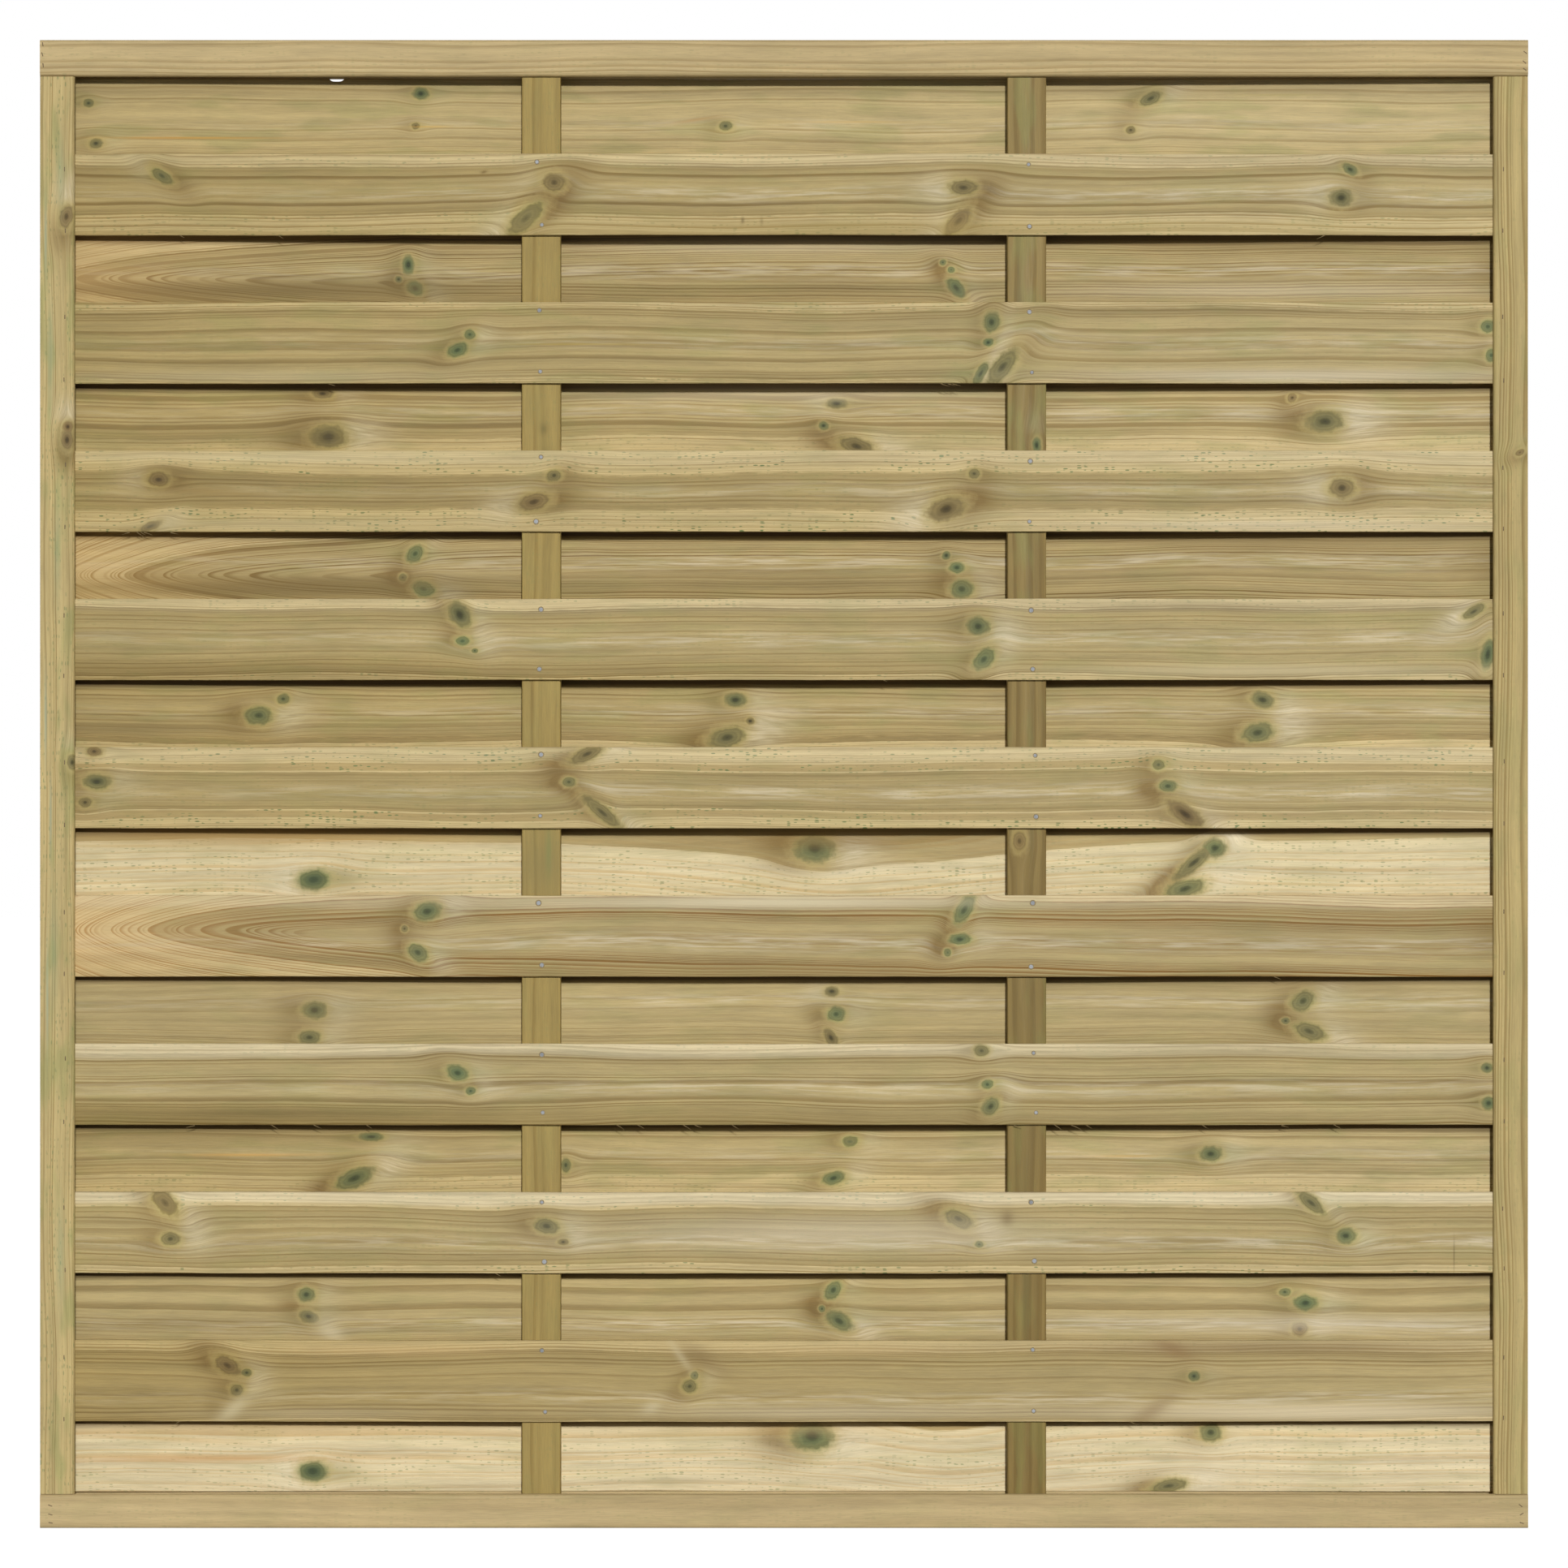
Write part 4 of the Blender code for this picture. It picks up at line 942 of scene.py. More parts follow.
def slat_rise(x):
    """How far a slat's centre line stands from the panel's middle, as in the part's own curve."""
    sizes = bpy.context.scene.panel_sizes
    reach = min(x, PANEL_WIDTH - x) - OPENING_LEFT
    rise_at_batten = BAY_WIDTH ** 2 * (3 * OPENING_WIDTH - 4 * BAY_WIDTH)
    if reach < 0:
        curve = 3 * BAY_WIDTH * (OPENING_WIDTH - BAY_WIDTH) * reach
    elif reach < BAY_WIDTH:
        curve = reach * (3 * BAY_WIDTH * (OPENING_WIDTH - BAY_WIDTH) - reach ** 2)
    else:
        curve = BAY_WIDTH * (3 * reach * (OPENING_WIDTH - reach) - BAY_WIDTH ** 2)
    spring = sizes.rise_at_batten - sizes.rise_at_stile
    return sizes.rise_at_stile + spring * curve / rise_at_batten


def slat_face(layer, x):
    """Y of a slat's outer face at x."""
    return layer * (slat_rise(x) + bpy.context.scene.panel_sizes.slat_thickness / 2)


# Faces that meet at more than this many degrees keep a crisp edge
CREASE_ANGLE = 35


def finish_piece(bm, name, materials):
    """Make the mesh an object that rides on the panel, with smooth faces and crisp edges."""
    mesh = bpy.data.meshes.new(name)
    bm.to_mesh(mesh)
    bm.free()
    mesh.shade_smooth()
    mesh.set_sharp_from_angle(angle=radians(CREASE_ANGLE))
    for material in materials:
        mesh.materials.append(material)
    piece = bpy.data.objects.new(name, mesh)
    bpy.context.scene.collection.objects.link(piece)
    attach(piece, "root")
    return piece


# An edge is taken to lie along an axis if it strays by less than this
STRAIGHT = 1e-6


def edges_along_x(bm):
    """The edges that run along the panel."""
    chosen = []
    for edge in bm.edges:
        run = edge.verts[1].co - edge.verts[0].co
        if abs(run.x) > STRAIGHT > max(abs(run.y), abs(run.z)):
            chosen.append(edge)
    return chosen


def cut_across(bm, spot, normal):
    """Cut all the faces where a plane meets them, with no change of shape."""
    whole = bm.verts[:] + bm.edges[:] + bm.faces[:]
    bmesh.ops.bisect_plane(bm, geom=whole, plane_co=spot, plane_no=normal)


# Shares of a slat's width at which its faces are divided, closer together near its edges
SLAT_LINES = (-0.44, -0.39, -0.34, -0.17, 0.0, 0.17, 0.34, 0.39, 0.44)

# Share of a slat's half width at which its outer face starts to round off
SHOULDER_START = 0.68

# A slat's edges stray slowly and quickly, so many times in a metre, by these shares, and lie this
# much inwards. Each edge of each slat reads its own row of the noise
SLOW_WAVER = 6.0
QUICK_WAVER = 40.0
SLOW_SHARE = 0.7
QUICK_SHARE = 0.3
INWARDS_SHARE = 0.5
UPPER_ROW = 40.0
LOWER_ROW = 80.0
SLOW_SEED_STEP = 3.7
QUICK_SEED_STEP = 1.9

# A shallow nick in the top slat's upper edge lets a spot of light through under the rail. It is
# cut over so many steps to each side, and starts at this share of the slat's half width
NICK_SLAT = "rear_slat_1"
NICK_CENTRE = 0.357
NICK_HALF_LENGTH = 0.009
NICK_DEPTH = 0.0030
NICK_STEPS = 4
NICK_START = 0.7

# The two edges that meet the rails stand this much further out, so that they fit close there
RAIL_FIT = 0.0004


def edge_stray(name, x, z):
    """How far a slat's long edge strays outwards at a point."""
    if (name == NICK_SLAT and z > 0) or (name == REAR_SLATS[-1] and z < 0):
        return RAIL_FIT
    seed = BOARDS[name].seed
    row = UPPER_ROW if z > 0 else LOWER_ROW
    slow = noise.noise((x * SLOW_WAVER, row, seed * SLOW_SEED_STEP))
    quick = noise.noise((x * QUICK_WAVER, row, seed * QUICK_SEED_STEP))
    stray = SLOW_SHARE * slow + QUICK_SHARE * quick - INWARDS_SHARE
    return bpy.context.scene.panel_sizes.edge_waver * stray


def build_slat(name, layer):
    """One slat: a planed board, divided finely, with slightly uneven edges, sprung on its curve."""
    sizes = bpy.context.scene.panel_sizes
    low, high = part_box(name)
    centre = (low + high) / 2
    width = high.z - low.z
    bm = bmesh.new()
    bmesh.ops.create_cube(bm, size=1.0)
    bmesh.ops.scale(bm, vec=(high.x - low.x, sizes.slat_thickness, width), verts=bm.verts)
    bmesh.ops.translate(bm, vec=(centre.x, 0, 0), verts=bm.verts)
    bmesh.ops.bevel(bm, geom=edges_along_x(bm), offset=sizes.slat_arris, offset_type="OFFSET",
                    affect="EDGES", segments=3, profile=0.5, material=-1)
    for share in SLAT_LINES:
        cut_across(bm, (0, 0, share * width), (0, 0, 1))
    bmesh.ops.subdivide_edges(bm, edges=edges_along_x(bm), cuts=sizes.slat_cuts,
                              use_grid_fill=True)
    if name == NICK_SLAT:
        for step in range(-NICK_STEPS, NICK_STEPS + 1):
            station = NICK_CENTRE + NICK_HALF_LENGTH * step / NICK_STEPS
            cut_across(bm, (station, 0, 0), (1, 0, 0))
    place_layer = bm.verts.layers.float_vector.new(PLACE)
    for vert in bm.verts:
        x, y, z = vert.co
        vert[place_layer] = (x * MM, z * MM, (y + sizes.slat_thickness / 2) * MM)
        edge_share = 2 * z / width
        vert.co.z += centre.z + edge_stray(name, x, z) * edge_share
        if name == NICK_SLAT and edge_share > NICK_START:
            away = abs(x - NICK_CENTRE) / NICK_HALF_LENGTH
            in_nick = (edge_share - NICK_START) / (1.0 - NICK_START)
            vert.co.z -= NICK_DEPTH * max(0.0, 1.0 - away ** 4) * in_nick
        # The outer face rounds off a little towards its long edges
        outer = 0.5 + layer * y / sizes.slat_thickness
        shoulder = max(0.0, (abs(edge_share) - SHOULDER_START) / (1.0 - SHOULDER_START))
        bowed = y + layer * (slat_rise(x) - sizes.shoulder_drop * outer * shoulder ** 2)
        vert.co.y = min(max(bowed, low.y), high.y)
    material = timber_material(name + "_pine", BOARDS[name], slat_place)
    piece = finish_piece(bm, "dressed_" + name, [material])
    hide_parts(name)


# Nails, as mm right of the batten's middle and above the slat's, by slat from the top:
# upper and lower nail on the left batten, then on the right one
FRONT_NAILS = (
    ((-5, 39), (1, -37), (2, 36), (3, -39)), ((-2, 39), (-1, -35), (3, 37), (6, -36)),
    ((0, 41), (-6, -37), (4, 36), (3, -37)), ((0, 36), (-2, -36), (5, 35), (7, -36)),
    ((0, 40), (-1, -34), (10, 39), (11, -35)), ((-3, 40), (1, -35), (7, 40), (5, -37)),
    ((1, 36), (2, -34), (8, 38), (11, -34)), ((1, 37), (4, -35), (5, 37), (9, -34)),
    ((1, 37), (5, -37), (7, 38), (8, -36)))

# Nails at the back, in mm above the slat's middle, and how far they stray across and upwards
REAR_NAILS = (38, -36)
NAIL_STRAY = (7, 3)

# A nail's head and the bruise under it, a dark ring that is partly bruised wood and partly the
# head's painted shadow: how thick they are, and their radii as shares of a head's
HEAD_THICKNESS = 0.0009
HEAD_FLARE = 0.92
BRUISE_THICKNESS = 0.0003
BRUISE_RADIUS = 1.4
BRUISE_FLARE = 1.25
NAIL_SIDES = 20

# How much the nails differ in size, and how far they tilt in radians
NAIL_SIZES = (0.8, 1.15)
NAIL_TILT = 0.10

# Each kind of small piece draws its own random numbers
NAIL_SEED = 7
STAPLE_SEED = 11
SPLINTER_SEED = 5


def add_nail(bm, spot, facing, rng):
    """A nail's head and the bruised wood round it, darkened also as the head's painted shadow. Facing
    is -1 where it looks to the front.
    """
    radius = bpy.context.scene.panel_sizes.nail_radius * rng.uniform(*NAIL_SIZES)
    tilts = (rng.uniform(-NAIL_TILT, NAIL_TILT), rng.uniform(-NAIL_TILT, NAIL_TILT), 0.0)
    tilt = Euler(tilts).to_matrix().to_4x4()
    out = Matrix.Rotation(facing * -pi / 2, 4, "X")
    discs = ((BRUISE_RADIUS, BRUISE_FLARE, BRUISE_THICKNESS, out),
             (1.0, HEAD_FLARE, HEAD_THICKNESS, out @ tilt))
    for index, (inner, outer, thickness, turn) in enumerate(discs):
        verts = bmesh.ops.create_cone(bm, cap_ends=True, segments=NAIL_SIDES,
                                      radius1=radius * inner, radius2=radius * outer,
                                      depth=thickness)["verts"]
        bmesh.ops.transform(bm, matrix=Matrix.Translation(spot) @ turn, verts=verts)
        for face in {face for vert in verts for face in vert.link_faces}:
            face.material_index = index


# Corner staples, as metres from the panel's left face and above its middle, and turns in degrees
CORNER_STAPLES = (
    (0.0035, 0.8946, 80), (0.0030, 0.8824, 70), (0.0040, 0.8691, 85),
    (1.7965, 0.8848, 40), (1.7955, 0.8730, 42), (1.7960, 0.8642, 38),
    (0.0125, -0.8726, 20), (0.0127, -0.8835, 15), (0.0130, -0.8935, 10),
    (1.7908, -0.8726, 35), (1.7922, -0.8829, -30), (1.7922, -0.8937, 20))

# Staples beside a slat's ends: how far into the stile, at what mm above the slat's middle, how
# far they stray across and upwards in mm, and how high from the panel's middle there are any
STAPLE_INSET = 0.012
STAPLE_HEIGHTS = (30, -44)
STAPLE_STRAY = (1, 2)
STAPLE_LIMIT = 0.85

# A staple's flat wire, as its thickness, its width and the rounding of its edges
WIRE_THICKNESS = 0.0005
WIRE_WIDTH = 0.0011
WIRE_ROUNDING = 0.0002


def add_staple(bm, x, z, facing, turn):
    """The crown of a narrow staple, driven flush into the frame's face."""
    crown = bpy.context.scene.panel_sizes.staple_crown
    verts = bmesh.ops.create_cube(bm, size=1.0)["verts"]
    bmesh.ops.scale(bm, vec=(crown, WIRE_THICKNESS, WIRE_WIDTH), verts=verts)
    edges = list({edge for vert in verts for edge in vert.link_edges})
    bevelled = bmesh.ops.bevel(bm, geom=edges, offset=WIRE_ROUNDING, offset_type="OFFSET",
                               affect="EDGES", segments=2, profile=0.5, material=-1)
    whole = {vert for face in bevelled["faces"] for vert in face.verts}
    place = Matrix.Translation((x, -RAIL_FRONT * facing, z))
    place = place @ Matrix.Rotation(-facing * radians(turn), 4, "Y")
    bmesh.ops.transform(bm, matrix=place, verts=list(whole))


# Splinters left by the saw on each slat's lower edge: mm along the panel, and mm long
SPLINTERS = {
    "front_slat_1": ((168, 7), (286, 9), (1556, 12)),
    "front_slat_2": ((349, 8), (1089, 12), (1098, 9), (1104, 10)),
    "front_slat_3": ((108, 10), (113, 13), (119, 9), (125, 11), (157, 10)),
    "front_slat_4": ((1020, 5),),
    "front_slat_6": ((1493, 9),),
    "front_slat_7": ((187, 11), (277, 13), (330, 11), (393, 9), (696, 12), (722, 10), (776, 13),
                     (792, 9), (835, 12), (1178, 10), (1225, 12), (1247, 13), (1264, 9),
                     (1404, 10), (1502, 9), (1564, 12)),
    "front_slat_8": ((550, 8),),
    "front_slat_9": ((170, 9), (1318, 10))}

# A splinter's radii at its root and tip, its most curl, how far it slopes in degrees, how far
# behind the slat's face it starts, how many of them point right and how far they hang
SPLINTER_ROOT = 0.00055
SPLINTER_TIP = 0.00012
SPLINTER_CURL = 12.0
SPLINTER_SLOPE = (12, 34)
SPLINTER_DEPTH = (0.001, 0.003)
POINT_RIGHT = 0.8
SPLINTER_HANG = 0.16


def add_splinter(bm, x, length, bottom, rng):
    """A thin sliver that hangs from a front slat's lower edge, curling a little."""
    made_before = len(bm.verts)
    verts = bmesh.ops.create_cone(bm, cap_ends=True, segments=4, radius1=SPLINTER_ROOT,
                                  radius2=SPLINTER_TIP, depth=length)["verts"]
    edges = [edge for edge in {e for v in verts for e in v.link_edges}
             if abs(edge.verts[0].co.z - edge.verts[1].co.z) > length / 2]
    bmesh.ops.subdivide_edges(bm, edges=edges, cuts=4)
    bm.verts.ensure_lookup_table()
    whole = bm.verts[made_before:]
    curl = rng.uniform(-1.0, 1.0) * SPLINTER_CURL
    for vert in whole:
        vert.co.x += curl * vert.co.z ** 2
    slope = radians(rng.uniform(*SPLINTER_SLOPE))
    facing = 1 if rng.random() < POINT_RIGHT else -1
    turn = Matrix.Rotation(facing * (pi / 2 + slope), 4, "Y")
    start = Vector((x, slat_face(FRONT, x) + rng.uniform(*SPLINTER_DEPTH), bottom))
    hang = Vector((facing * length / 2, 0, -length * SPLINTER_HANG))
    bmesh.ops.transform(bm, matrix=Matrix.Translation(start + hang) @ turn, verts=whole)


def speckled_material(name, specks_in_metre, dark, pale, roughness, metallic=0.0):
    """Two colours mottled by specks, and by them a range of roughness too, if it is a pair."""
    material, node = new_material(name)
    specks = node("TexNoise", {"Vector": node("TexCoord").outputs["Object"],
                               "Scale": specks_in_metre})
    tone = node("Mix", (specks, linear_colour(dark), linear_colour(pale)), **BLEND)
    if isinstance(roughness, tuple):
        roughness = node("MapRange", (specks, 0.0, 1.0, *roughness))
    shader = node("BsdfPrincipled", {"Base Color": tone, "Metallic": metallic,
                                     "Roughness": roughness})
    node("OutputMaterial", {"Surface": shader})
    return material


def galvanised_steel():
    """Zinc-coated steel nail head: bright grey, a little rough, with a spangle of about 1 mm."""
    return speckled_material("galvanised_steel", 900.0, "3E4042", "909294", (0.5, 0.7), 0.8)


def bruised_pine():
    """Pine crushed round a nail's head, stained grey-brown in patches of about 2 mm, and dark as a
    painted shadow of the head too.
    """
    return speckled_material("bruised_pine", 500.0, "6A5C40", "A08E66", 0.85)


def browned_wire():
    """Steel wire, sunk flush and browned by wet treated wood, in rust blooms of about 2 mm."""
    return speckled_material("browned_steel_wire", 450.0, "3C2E20", "7A6648", 0.7, 0.3)


def torn_fibre():
    """Torn pine fibres: straw, browned by weather in streaks of about 3 mm."""
    return speckled_material("torn_pine_fibre", 300.0, "4E3F26", "A08A5C", 0.8)


class PanelSizes(bpy.types.PropertyGroup):
    slat_thickness: bpy.props.FloatProperty(
        name="Slat thickness", description="Thickness of the sprung slats",
        default=0.008, unit="LENGTH")
    slat_arris: bpy.props.FloatProperty(
        name="Slat arris", description="Rounding of a slat's long edges",
        default=0.0012, unit="LENGTH")
    slat_cuts: bpy.props.IntProperty(
        name="Slat cuts", description="Divisions along a slat, so that it bends smoothly",
        default=150, min=20, max=400)
    shoulder_drop: bpy.props.FloatProperty(
        name="Shoulder drop", description="How far a slat's outer face falls at its long edges",
        default=0.0009, unit="LENGTH")
    edge_waver: bpy.props.FloatProperty(
        name="Edge waver", description="How far a slat's long edges stray from straight",
        default=0.0007, unit="LENGTH")
    rise_at_stile: bpy.props.FloatProperty(
        name="Offset at the stile", description="Slat's middle from the panel's, at the stile",
        default=0.0107, unit="LENGTH")
    rise_at_batten: bpy.props.FloatProperty(
        name="Offset at the batten", description="Slat's middle from the panel's, at the batten",
        default=0.0183, unit="LENGTH")
    nail_radius: bpy.props.FloatProperty(
        name="Nail head radius", description="Radius of the galvanised nail heads",
        default=0.0025, unit="LENGTH")
    staple_crown: bpy.props.FloatProperty(
        name="Staple crown", description="Width of the narrow staples' crowns",
        default=0.0052, unit="LENGTH")


class PanelColours(bpy.types.PropertyGroup):
    sapwood: bpy.props.FloatVectorProperty(
        name="Sapwood", description="Straw of the treated outer wood", size=4,
        subtype="COLOR", default=linear_colour("CBB889"))
    heartwood: bpy.props.FloatVectorProperty(
        name="Heartwood", description="Olive brown of the inner wood", size=4,
        subtype="COLOR", default=linear_colour("AC9A6B"))
    ring_line: bpy.props.FloatVectorProperty(
        name="Ring line", description="What the latewood lines multiply the wood by", size=4,
        subtype="COLOR", default=linear_colour("C2B69C"))
    # Silver is the colour of the painted sheen along the pith, and of the paler wood beside knots
    silver: bpy.props.FloatVectorProperty(
        name="Silver", description="Pale streaks along the pith", size=4,
        subtype="COLOR", default=linear_colour("D8CCB0"))
    resin_fleck: bpy.props.FloatVectorProperty(
        name="Resin flecks", description="Green-brown dashes in the sapwood", size=4,
        subtype="COLOR", default=linear_colour("6F7C50"))
    treatment: bpy.props.FloatVectorProperty(
        name="Treatment", description="Green left by the copper preservative", size=4,
        subtype="COLOR", default=linear_colour("8C9058"))
    knot_cloud: bpy.props.FloatVectorProperty(
        name="Knot cloud", description="Browned wood round the knots", size=4,
        subtype="COLOR", default=linear_colour("7C6438"))
    knot_halo: bpy.props.FloatVectorProperty(
        name="Knot halo", description="Pale grain that folds round a knot", size=4,
        subtype="COLOR", default=linear_colour("B4A26C"))


class PANEL_OT_slats(bpy.types.Operator):
    """Make the front and rear slats as sprung pine boards"""
    bl_idname = "fence.slats"
    bl_label = "Slats"

    def execute(self, context):
        for names, layer in ((REAR_SLATS, REAR), (FRONT_SLATS, FRONT)):
            for name in names:
                build_slat(name, layer)
        return {"FINISHED"}


class PANEL_OT_timbers(bpy.types.Operator):
    """Give the rails, stiles and battens their own treated pine"""
    bl_idname = "fence.timbers"
    bl_label = "Frame and battens"

    def execute(self, context):
        lying = ("top_rail", "bottom_rail")
        standing = ("left_stile", "right_stile", "left_batten", "right_batten")
        for names, axis in ((lying, X), (standing, Z)):
            for name in names:
                place_of = member_place(name, axis)
                material = timber_material(name + "_pine", BOARDS[name], place_of)
                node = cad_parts[name]
                node.data.materials.clear()
                node.data.materials.append(material)
        return {"FINISHED"}


class PANEL_OT_nails(bpy.types.Operator):
    """Nail each slat to both battens"""
    bl_idname = "fence.nails"
    bl_label = "Nails"

    def execute(self, context):
        rng = random.Random(NAIL_SEED)
        bm = bmesh.new()
        for name, nails in zip(FRONT_SLATS, FRONT_NAILS):
            height = middle(name, Z)
            for number, (right, above) in enumerate(nails):
                x = BATTEN_CENTRES[number // 2] + right / MM
                add_nail(bm, (x, slat_face(FRONT, x), height + above / MM), FRONT, rng)
        across, upwards = NAIL_STRAY
        for name in REAR_SLATS:
            height = middle(name, Z)
            for centre in BATTEN_CENTRES:
                for above in REAR_NAILS:
                    x = centre + rng.uniform(-across, across) / MM
                    z = height + (above + rng.uniform(-upwards, upwards)) / MM
                    add_nail(bm, (x, slat_face(REAR, x), z), REAR, rng)
        finish_piece(bm, "slat_nails", [bruised_pine(), galvanised_steel()])
        return {"FINISHED"}


class PANEL_OT_staples(bpy.types.Operator):
    """Staple the stiles beside each slat's ends, and each corner of the frame three times"""
    bl_idname = "fence.staples"
    bl_label = "Staples"

    def execute(self, context):
        rng = random.Random(STAPLE_SEED)
        bm = bmesh.new()
        across, upwards = STAPLE_STRAY
        for names, facing in ((FRONT_SLATS, FRONT), (REAR_SLATS, REAR)):
            for name in names:
                height = middle(name, Z)
                for stile in (OPENING_LEFT - STAPLE_INSET, OPENING_RIGHT + STAPLE_INSET):
                    for above in STAPLE_HEIGHTS:
                        if abs(height + above / MM) > STAPLE_LIMIT:
                            continue
                        x = stile + rng.uniform(-across, across) / MM
                        z = height + (above + rng.uniform(-upwards, upwards)) / MM
                        add_staple(bm, x, z, facing, 90)
        for x, z, turn in CORNER_STAPLES:
            for facing in (FRONT, REAR):
                add_staple(bm, x, z, facing, turn)
        finish_piece(bm, "frame_staples", [browned_wire()])
        return {"FINISHED"}


class PANEL_OT_splinters(bpy.types.Operator):
    """Leave the saw's splinters on the slats' lower edges"""
    bl_idname = "fence.splinters"
    bl_label = "Splinters"

    def execute(self, context):
        rng = random.Random(SPLINTER_SEED)
        bm = bmesh.new()
        for name, splinters in SPLINTERS.items():
            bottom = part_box(name)[0].z
            for along, length in splinters:
                add_splinter(bm, along / MM, length / MM, bottom, rng)
        finish_piece(bm, "edge_splinters", [torn_fibre()])
        return {"FINISHED"}


# The camera sees this width at the frame's front
VIEW_WIDTH = 1.8963
VIEW_DISTANCE = 8.80
SENSOR_WIDTH = 36.0

# Lamps: the way that each one shines, its strength and its angular size in degrees. The key comes
# from the front, a little to the right and 14 degrees above. The two at the sides are level and
# come a little from behind, so they light the stiles' outer faces and not the front
LAMPS = {"key_light": ((-0.07, 1.0, -0.25), 2.95, 3.0),
         "back_light": ((0.5, -1.0, -0.6), 1.8, 20.0),
         "left_light": ((1.0, -0.2, 0.0), 1.8, 10.0),
         "right_light": ((-1.0, -0.2, 0.0), 1.8, 10.0)}

# The dim sky's strength a little below level and nearly overhead, by the height of the direction
SKY_HEIGHTS = (-0.1, 0.9)
SKY_STRENGTHS = (0.01, 0.08)
SKY_COLOUR = "FFFDF8"
WHITE = "FFFFFF"

# The floor's half size, how far it lies under the panel, and how bright it looks by itself
FLOOR_REACH = 40.0
FLOOR_DROP = 0.0005
FLOOR_GLOW = 0.87
FLOOR_COLOUR = "B4B4B2"


def add_sun(name, direction, strength, spread):
    """A sun lamp that shines along the direction, with its angular size in degrees."""
    lamp = bpy.data.lights.new(name, "SUN")
    lamp.energy = strength
    lamp.angle = radians(spread)
    sun = bpy.data.objects.new(name, lamp)
    sun.rotation_euler = Vector(direction).to_track_quat("-Z", "Y").to_euler()
    bpy.context.scene.collection.objects.link(sun)


def add_seen(node):
    """One where the camera looks, directly or by reflection or through glass, and zero elsewhere."""
    ray = node("LightPath").outputs
    mirrored = node("Math", (ray["Is Glossy Ray"], ray["Is Transmission Ray"]),
                    operation="MAXIMUM")
    return node("Math", (ray["Is Camera Ray"], mirrored), operation="MAXIMUM")


def build_world():
    """White to the camera and to reflections, and a dim sky that is brightest overhead."""
    world = bpy.data.worlds.new("studio")
    bpy.context.scene.world = world
    world.use_nodes = True
    world.node_tree.nodes.clear()
    node = partial(add_node, world.node_tree)
    up = node("SeparateXYZ", (node("TexCoord").outputs["Object"],)).outputs[Z]
    level = node("MapRange", (up, *SKY_HEIGHTS, *SKY_STRENGTHS))
    sky = node("Background", {"Color": linear_colour(SKY_COLOUR), "Strength": level})
    white = node("Background", {"Color": linear_colour(WHITE), "Strength": 1.0})
    shown = node("MixShader", (add_seen(node), sky, white))
    node("OutputWorld", {"Surface": shown})


def pale_floor_material():
    """A matt pale studio floor, which the camera sees as white except in the shadow."""
    material, node = new_material("pale_floor")
    glow_strength = node("Math", (add_seen(node), FLOOR_GLOW), operation="MULTIPLY")
    glow = node("Emission", {"Color": linear_colour(WHITE), "Strength": glow_strength})
    matt = node("BsdfDiffuse", {"Color": linear_colour(FLOOR_COLOUR)})
    node("OutputMaterial", {"Surface": node("AddShader", (glow, matt))})
    return material


def build_floor():
    """A wide floor just under the panel."""
    bm = bmesh.new()
    bmesh.ops.create_grid(bm, x_segments=1, y_segments=1, size=FLOOR_REACH)
    bmesh.ops.translate(bm, vec=(PANEL_WIDTH / 2, 0, PANEL_LOW.z - FLOOR_DROP), verts=bm.verts)
    mesh = bpy.data.meshes.new("floor")
    bm.to_mesh(mesh)
    bm.free()
    mesh.materials.append(pale_floor_material())
    floor = bpy.data.objects.new("floor", mesh)
    bpy.context.scene.collection.objects.link(floor)


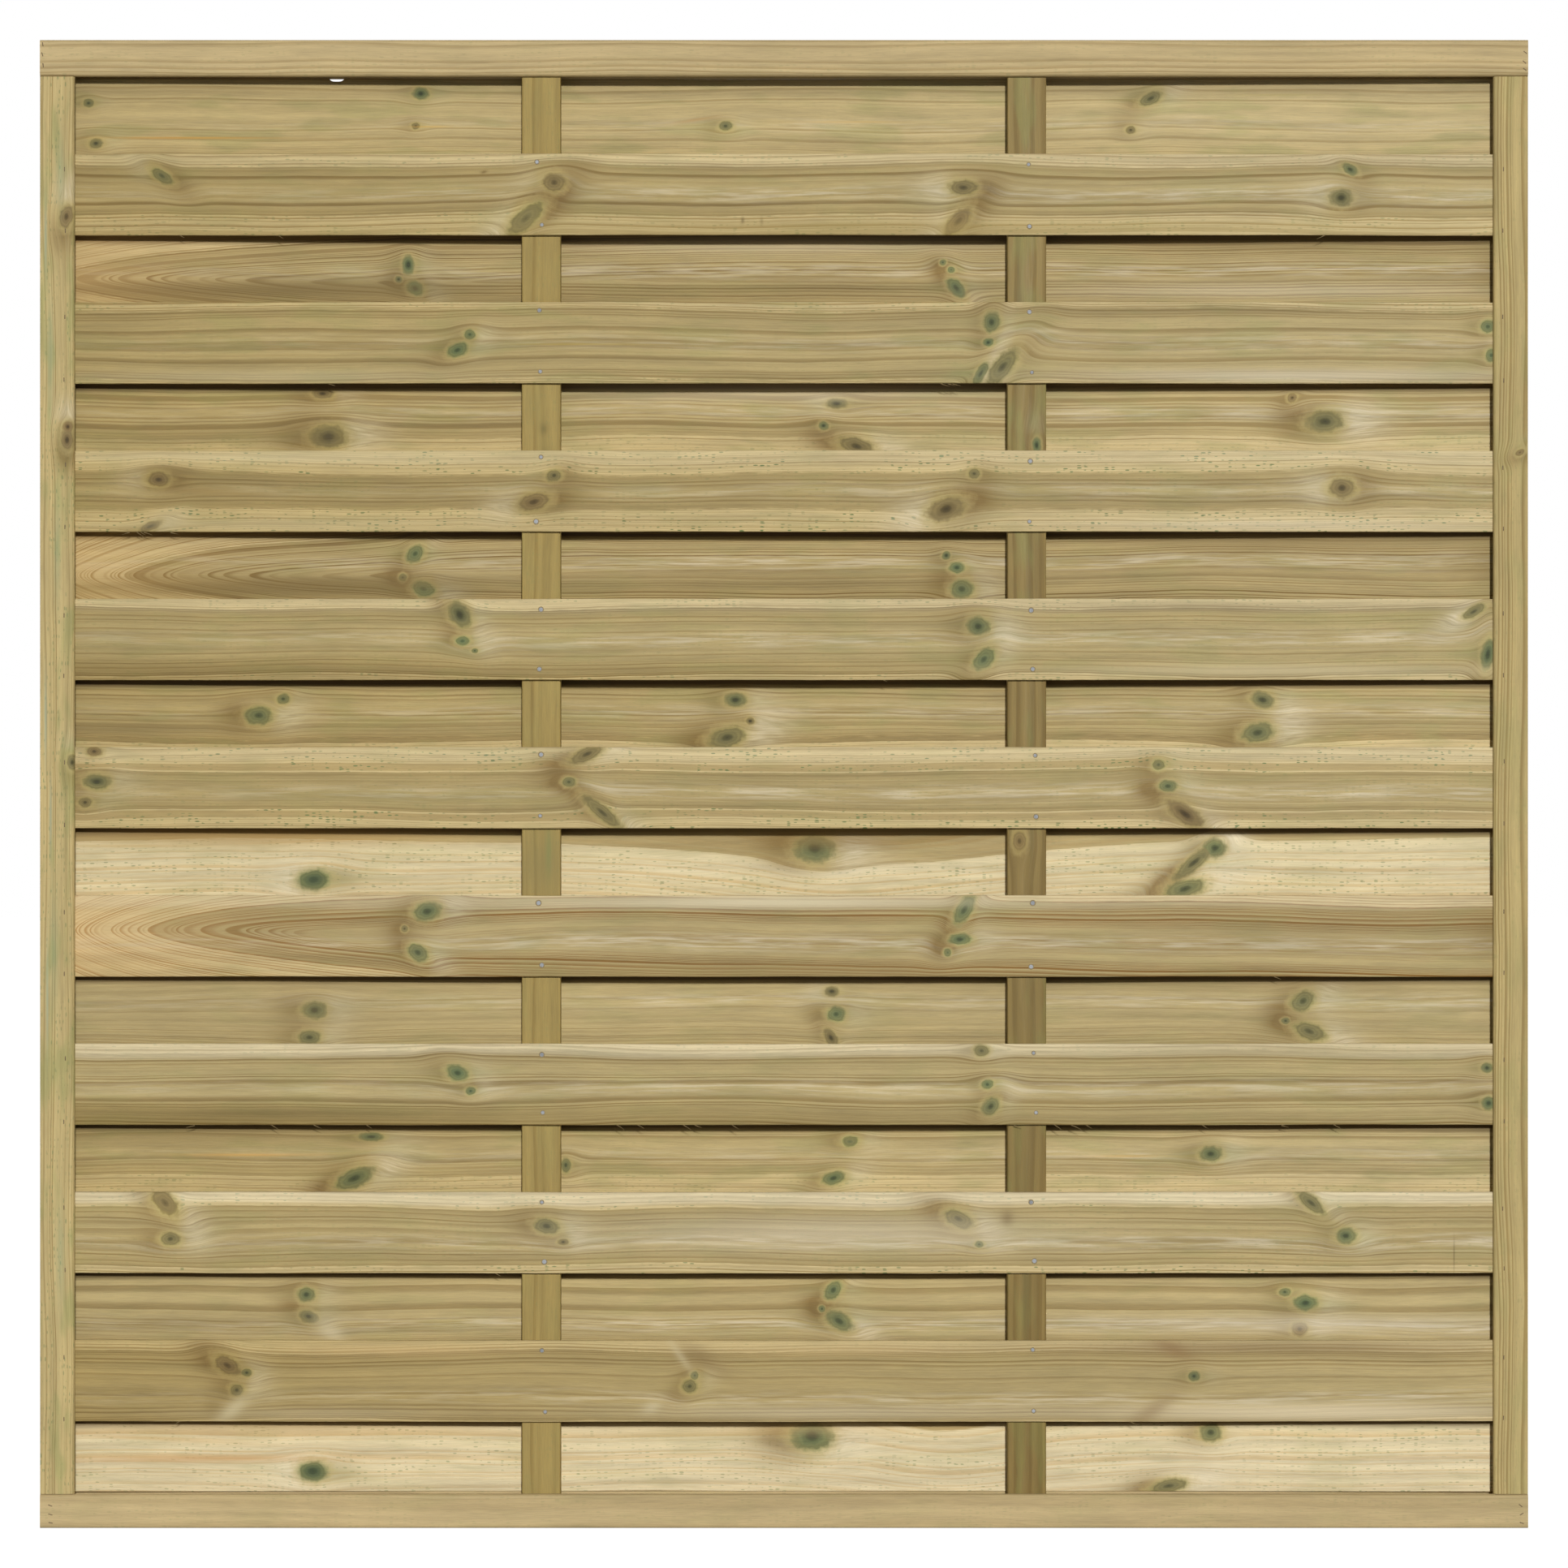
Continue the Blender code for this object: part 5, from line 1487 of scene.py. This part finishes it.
def build_camera():
    """The photograph's view, from straight ahead of the panel's middle."""
    camera = bpy.data.cameras.new("photograph_view")
    camera.sensor_width = SENSOR_WIDTH
    camera.lens = SENSOR_WIDTH * (VIEW_DISTANCE + RAIL_FRONT) / VIEW_WIDTH
    holder = bpy.data.objects.new("photograph_view", camera)
    holder.location = (PANEL_WIDTH / 2, -VIEW_DISTANCE, 0.0)
    holder.rotation_euler = (pi / 2, 0.0, 0.0)
    bpy.context.scene.collection.objects.link(holder)
    bpy.context.scene.camera = holder


class PANEL_OT_stage(bpy.types.Operator):
    """Set the floor, the studio light and the camera"""
    bl_idname = "fence.stage"
    bl_label = "Stage"

    def execute(self, context):
        context.scene.view_settings.view_transform = "Standard"
        build_camera()
        build_floor()
        build_world()
        for name, lamp in LAMPS.items():
            add_sun(name, *lamp)
        return {"FINISHED"}


class PANEL_PT_fence(bpy.types.Panel):
    """The panel's sizes, colours and making steps"""
    bl_idname = "PANEL_PT_fence"
    bl_label = "Fence panel"
    bl_space_type = "VIEW_3D"
    bl_region_type = "UI"
    bl_category = "Fence panel"

    def draw(self, context):
        layout = self.layout
        for group in (context.scene.panel_sizes, context.scene.panel_colours):
            for label in group.bl_rna.properties.keys():
                if label not in ("rna_type", "name"):
                    layout.prop(group, label)
        for operator in STEPS:
            layout.operator(operator.bl_idname)


STEPS = (PANEL_OT_stage, PANEL_OT_timbers, PANEL_OT_slats, PANEL_OT_nails, PANEL_OT_staples,
         PANEL_OT_splinters)
CLASSES = (PanelSizes, PanelColours, *STEPS, PANEL_PT_fence)


def register():
    for cls in CLASSES:
        bpy.utils.register_class(cls)
    bpy.types.Scene.panel_sizes = bpy.props.PointerProperty(type=PanelSizes)
    bpy.types.Scene.panel_colours = bpy.props.PointerProperty(type=PanelColours)


def unregister():
    del bpy.types.Scene.panel_colours
    del bpy.types.Scene.panel_sizes
    for cls in reversed(CLASSES):
        bpy.utils.unregister_class(cls)


def main():
    register()
    knot_group()
    mark_group()
    pine_group()
    bpy.ops.fence.stage()
    bpy.ops.fence.timbers()
    bpy.ops.fence.slats()
    bpy.ops.fence.nails()
    bpy.ops.fence.staples()
    bpy.ops.fence.splinters()
    bpy.context.view_layer.update()


if __name__ == "__main__":
    main()
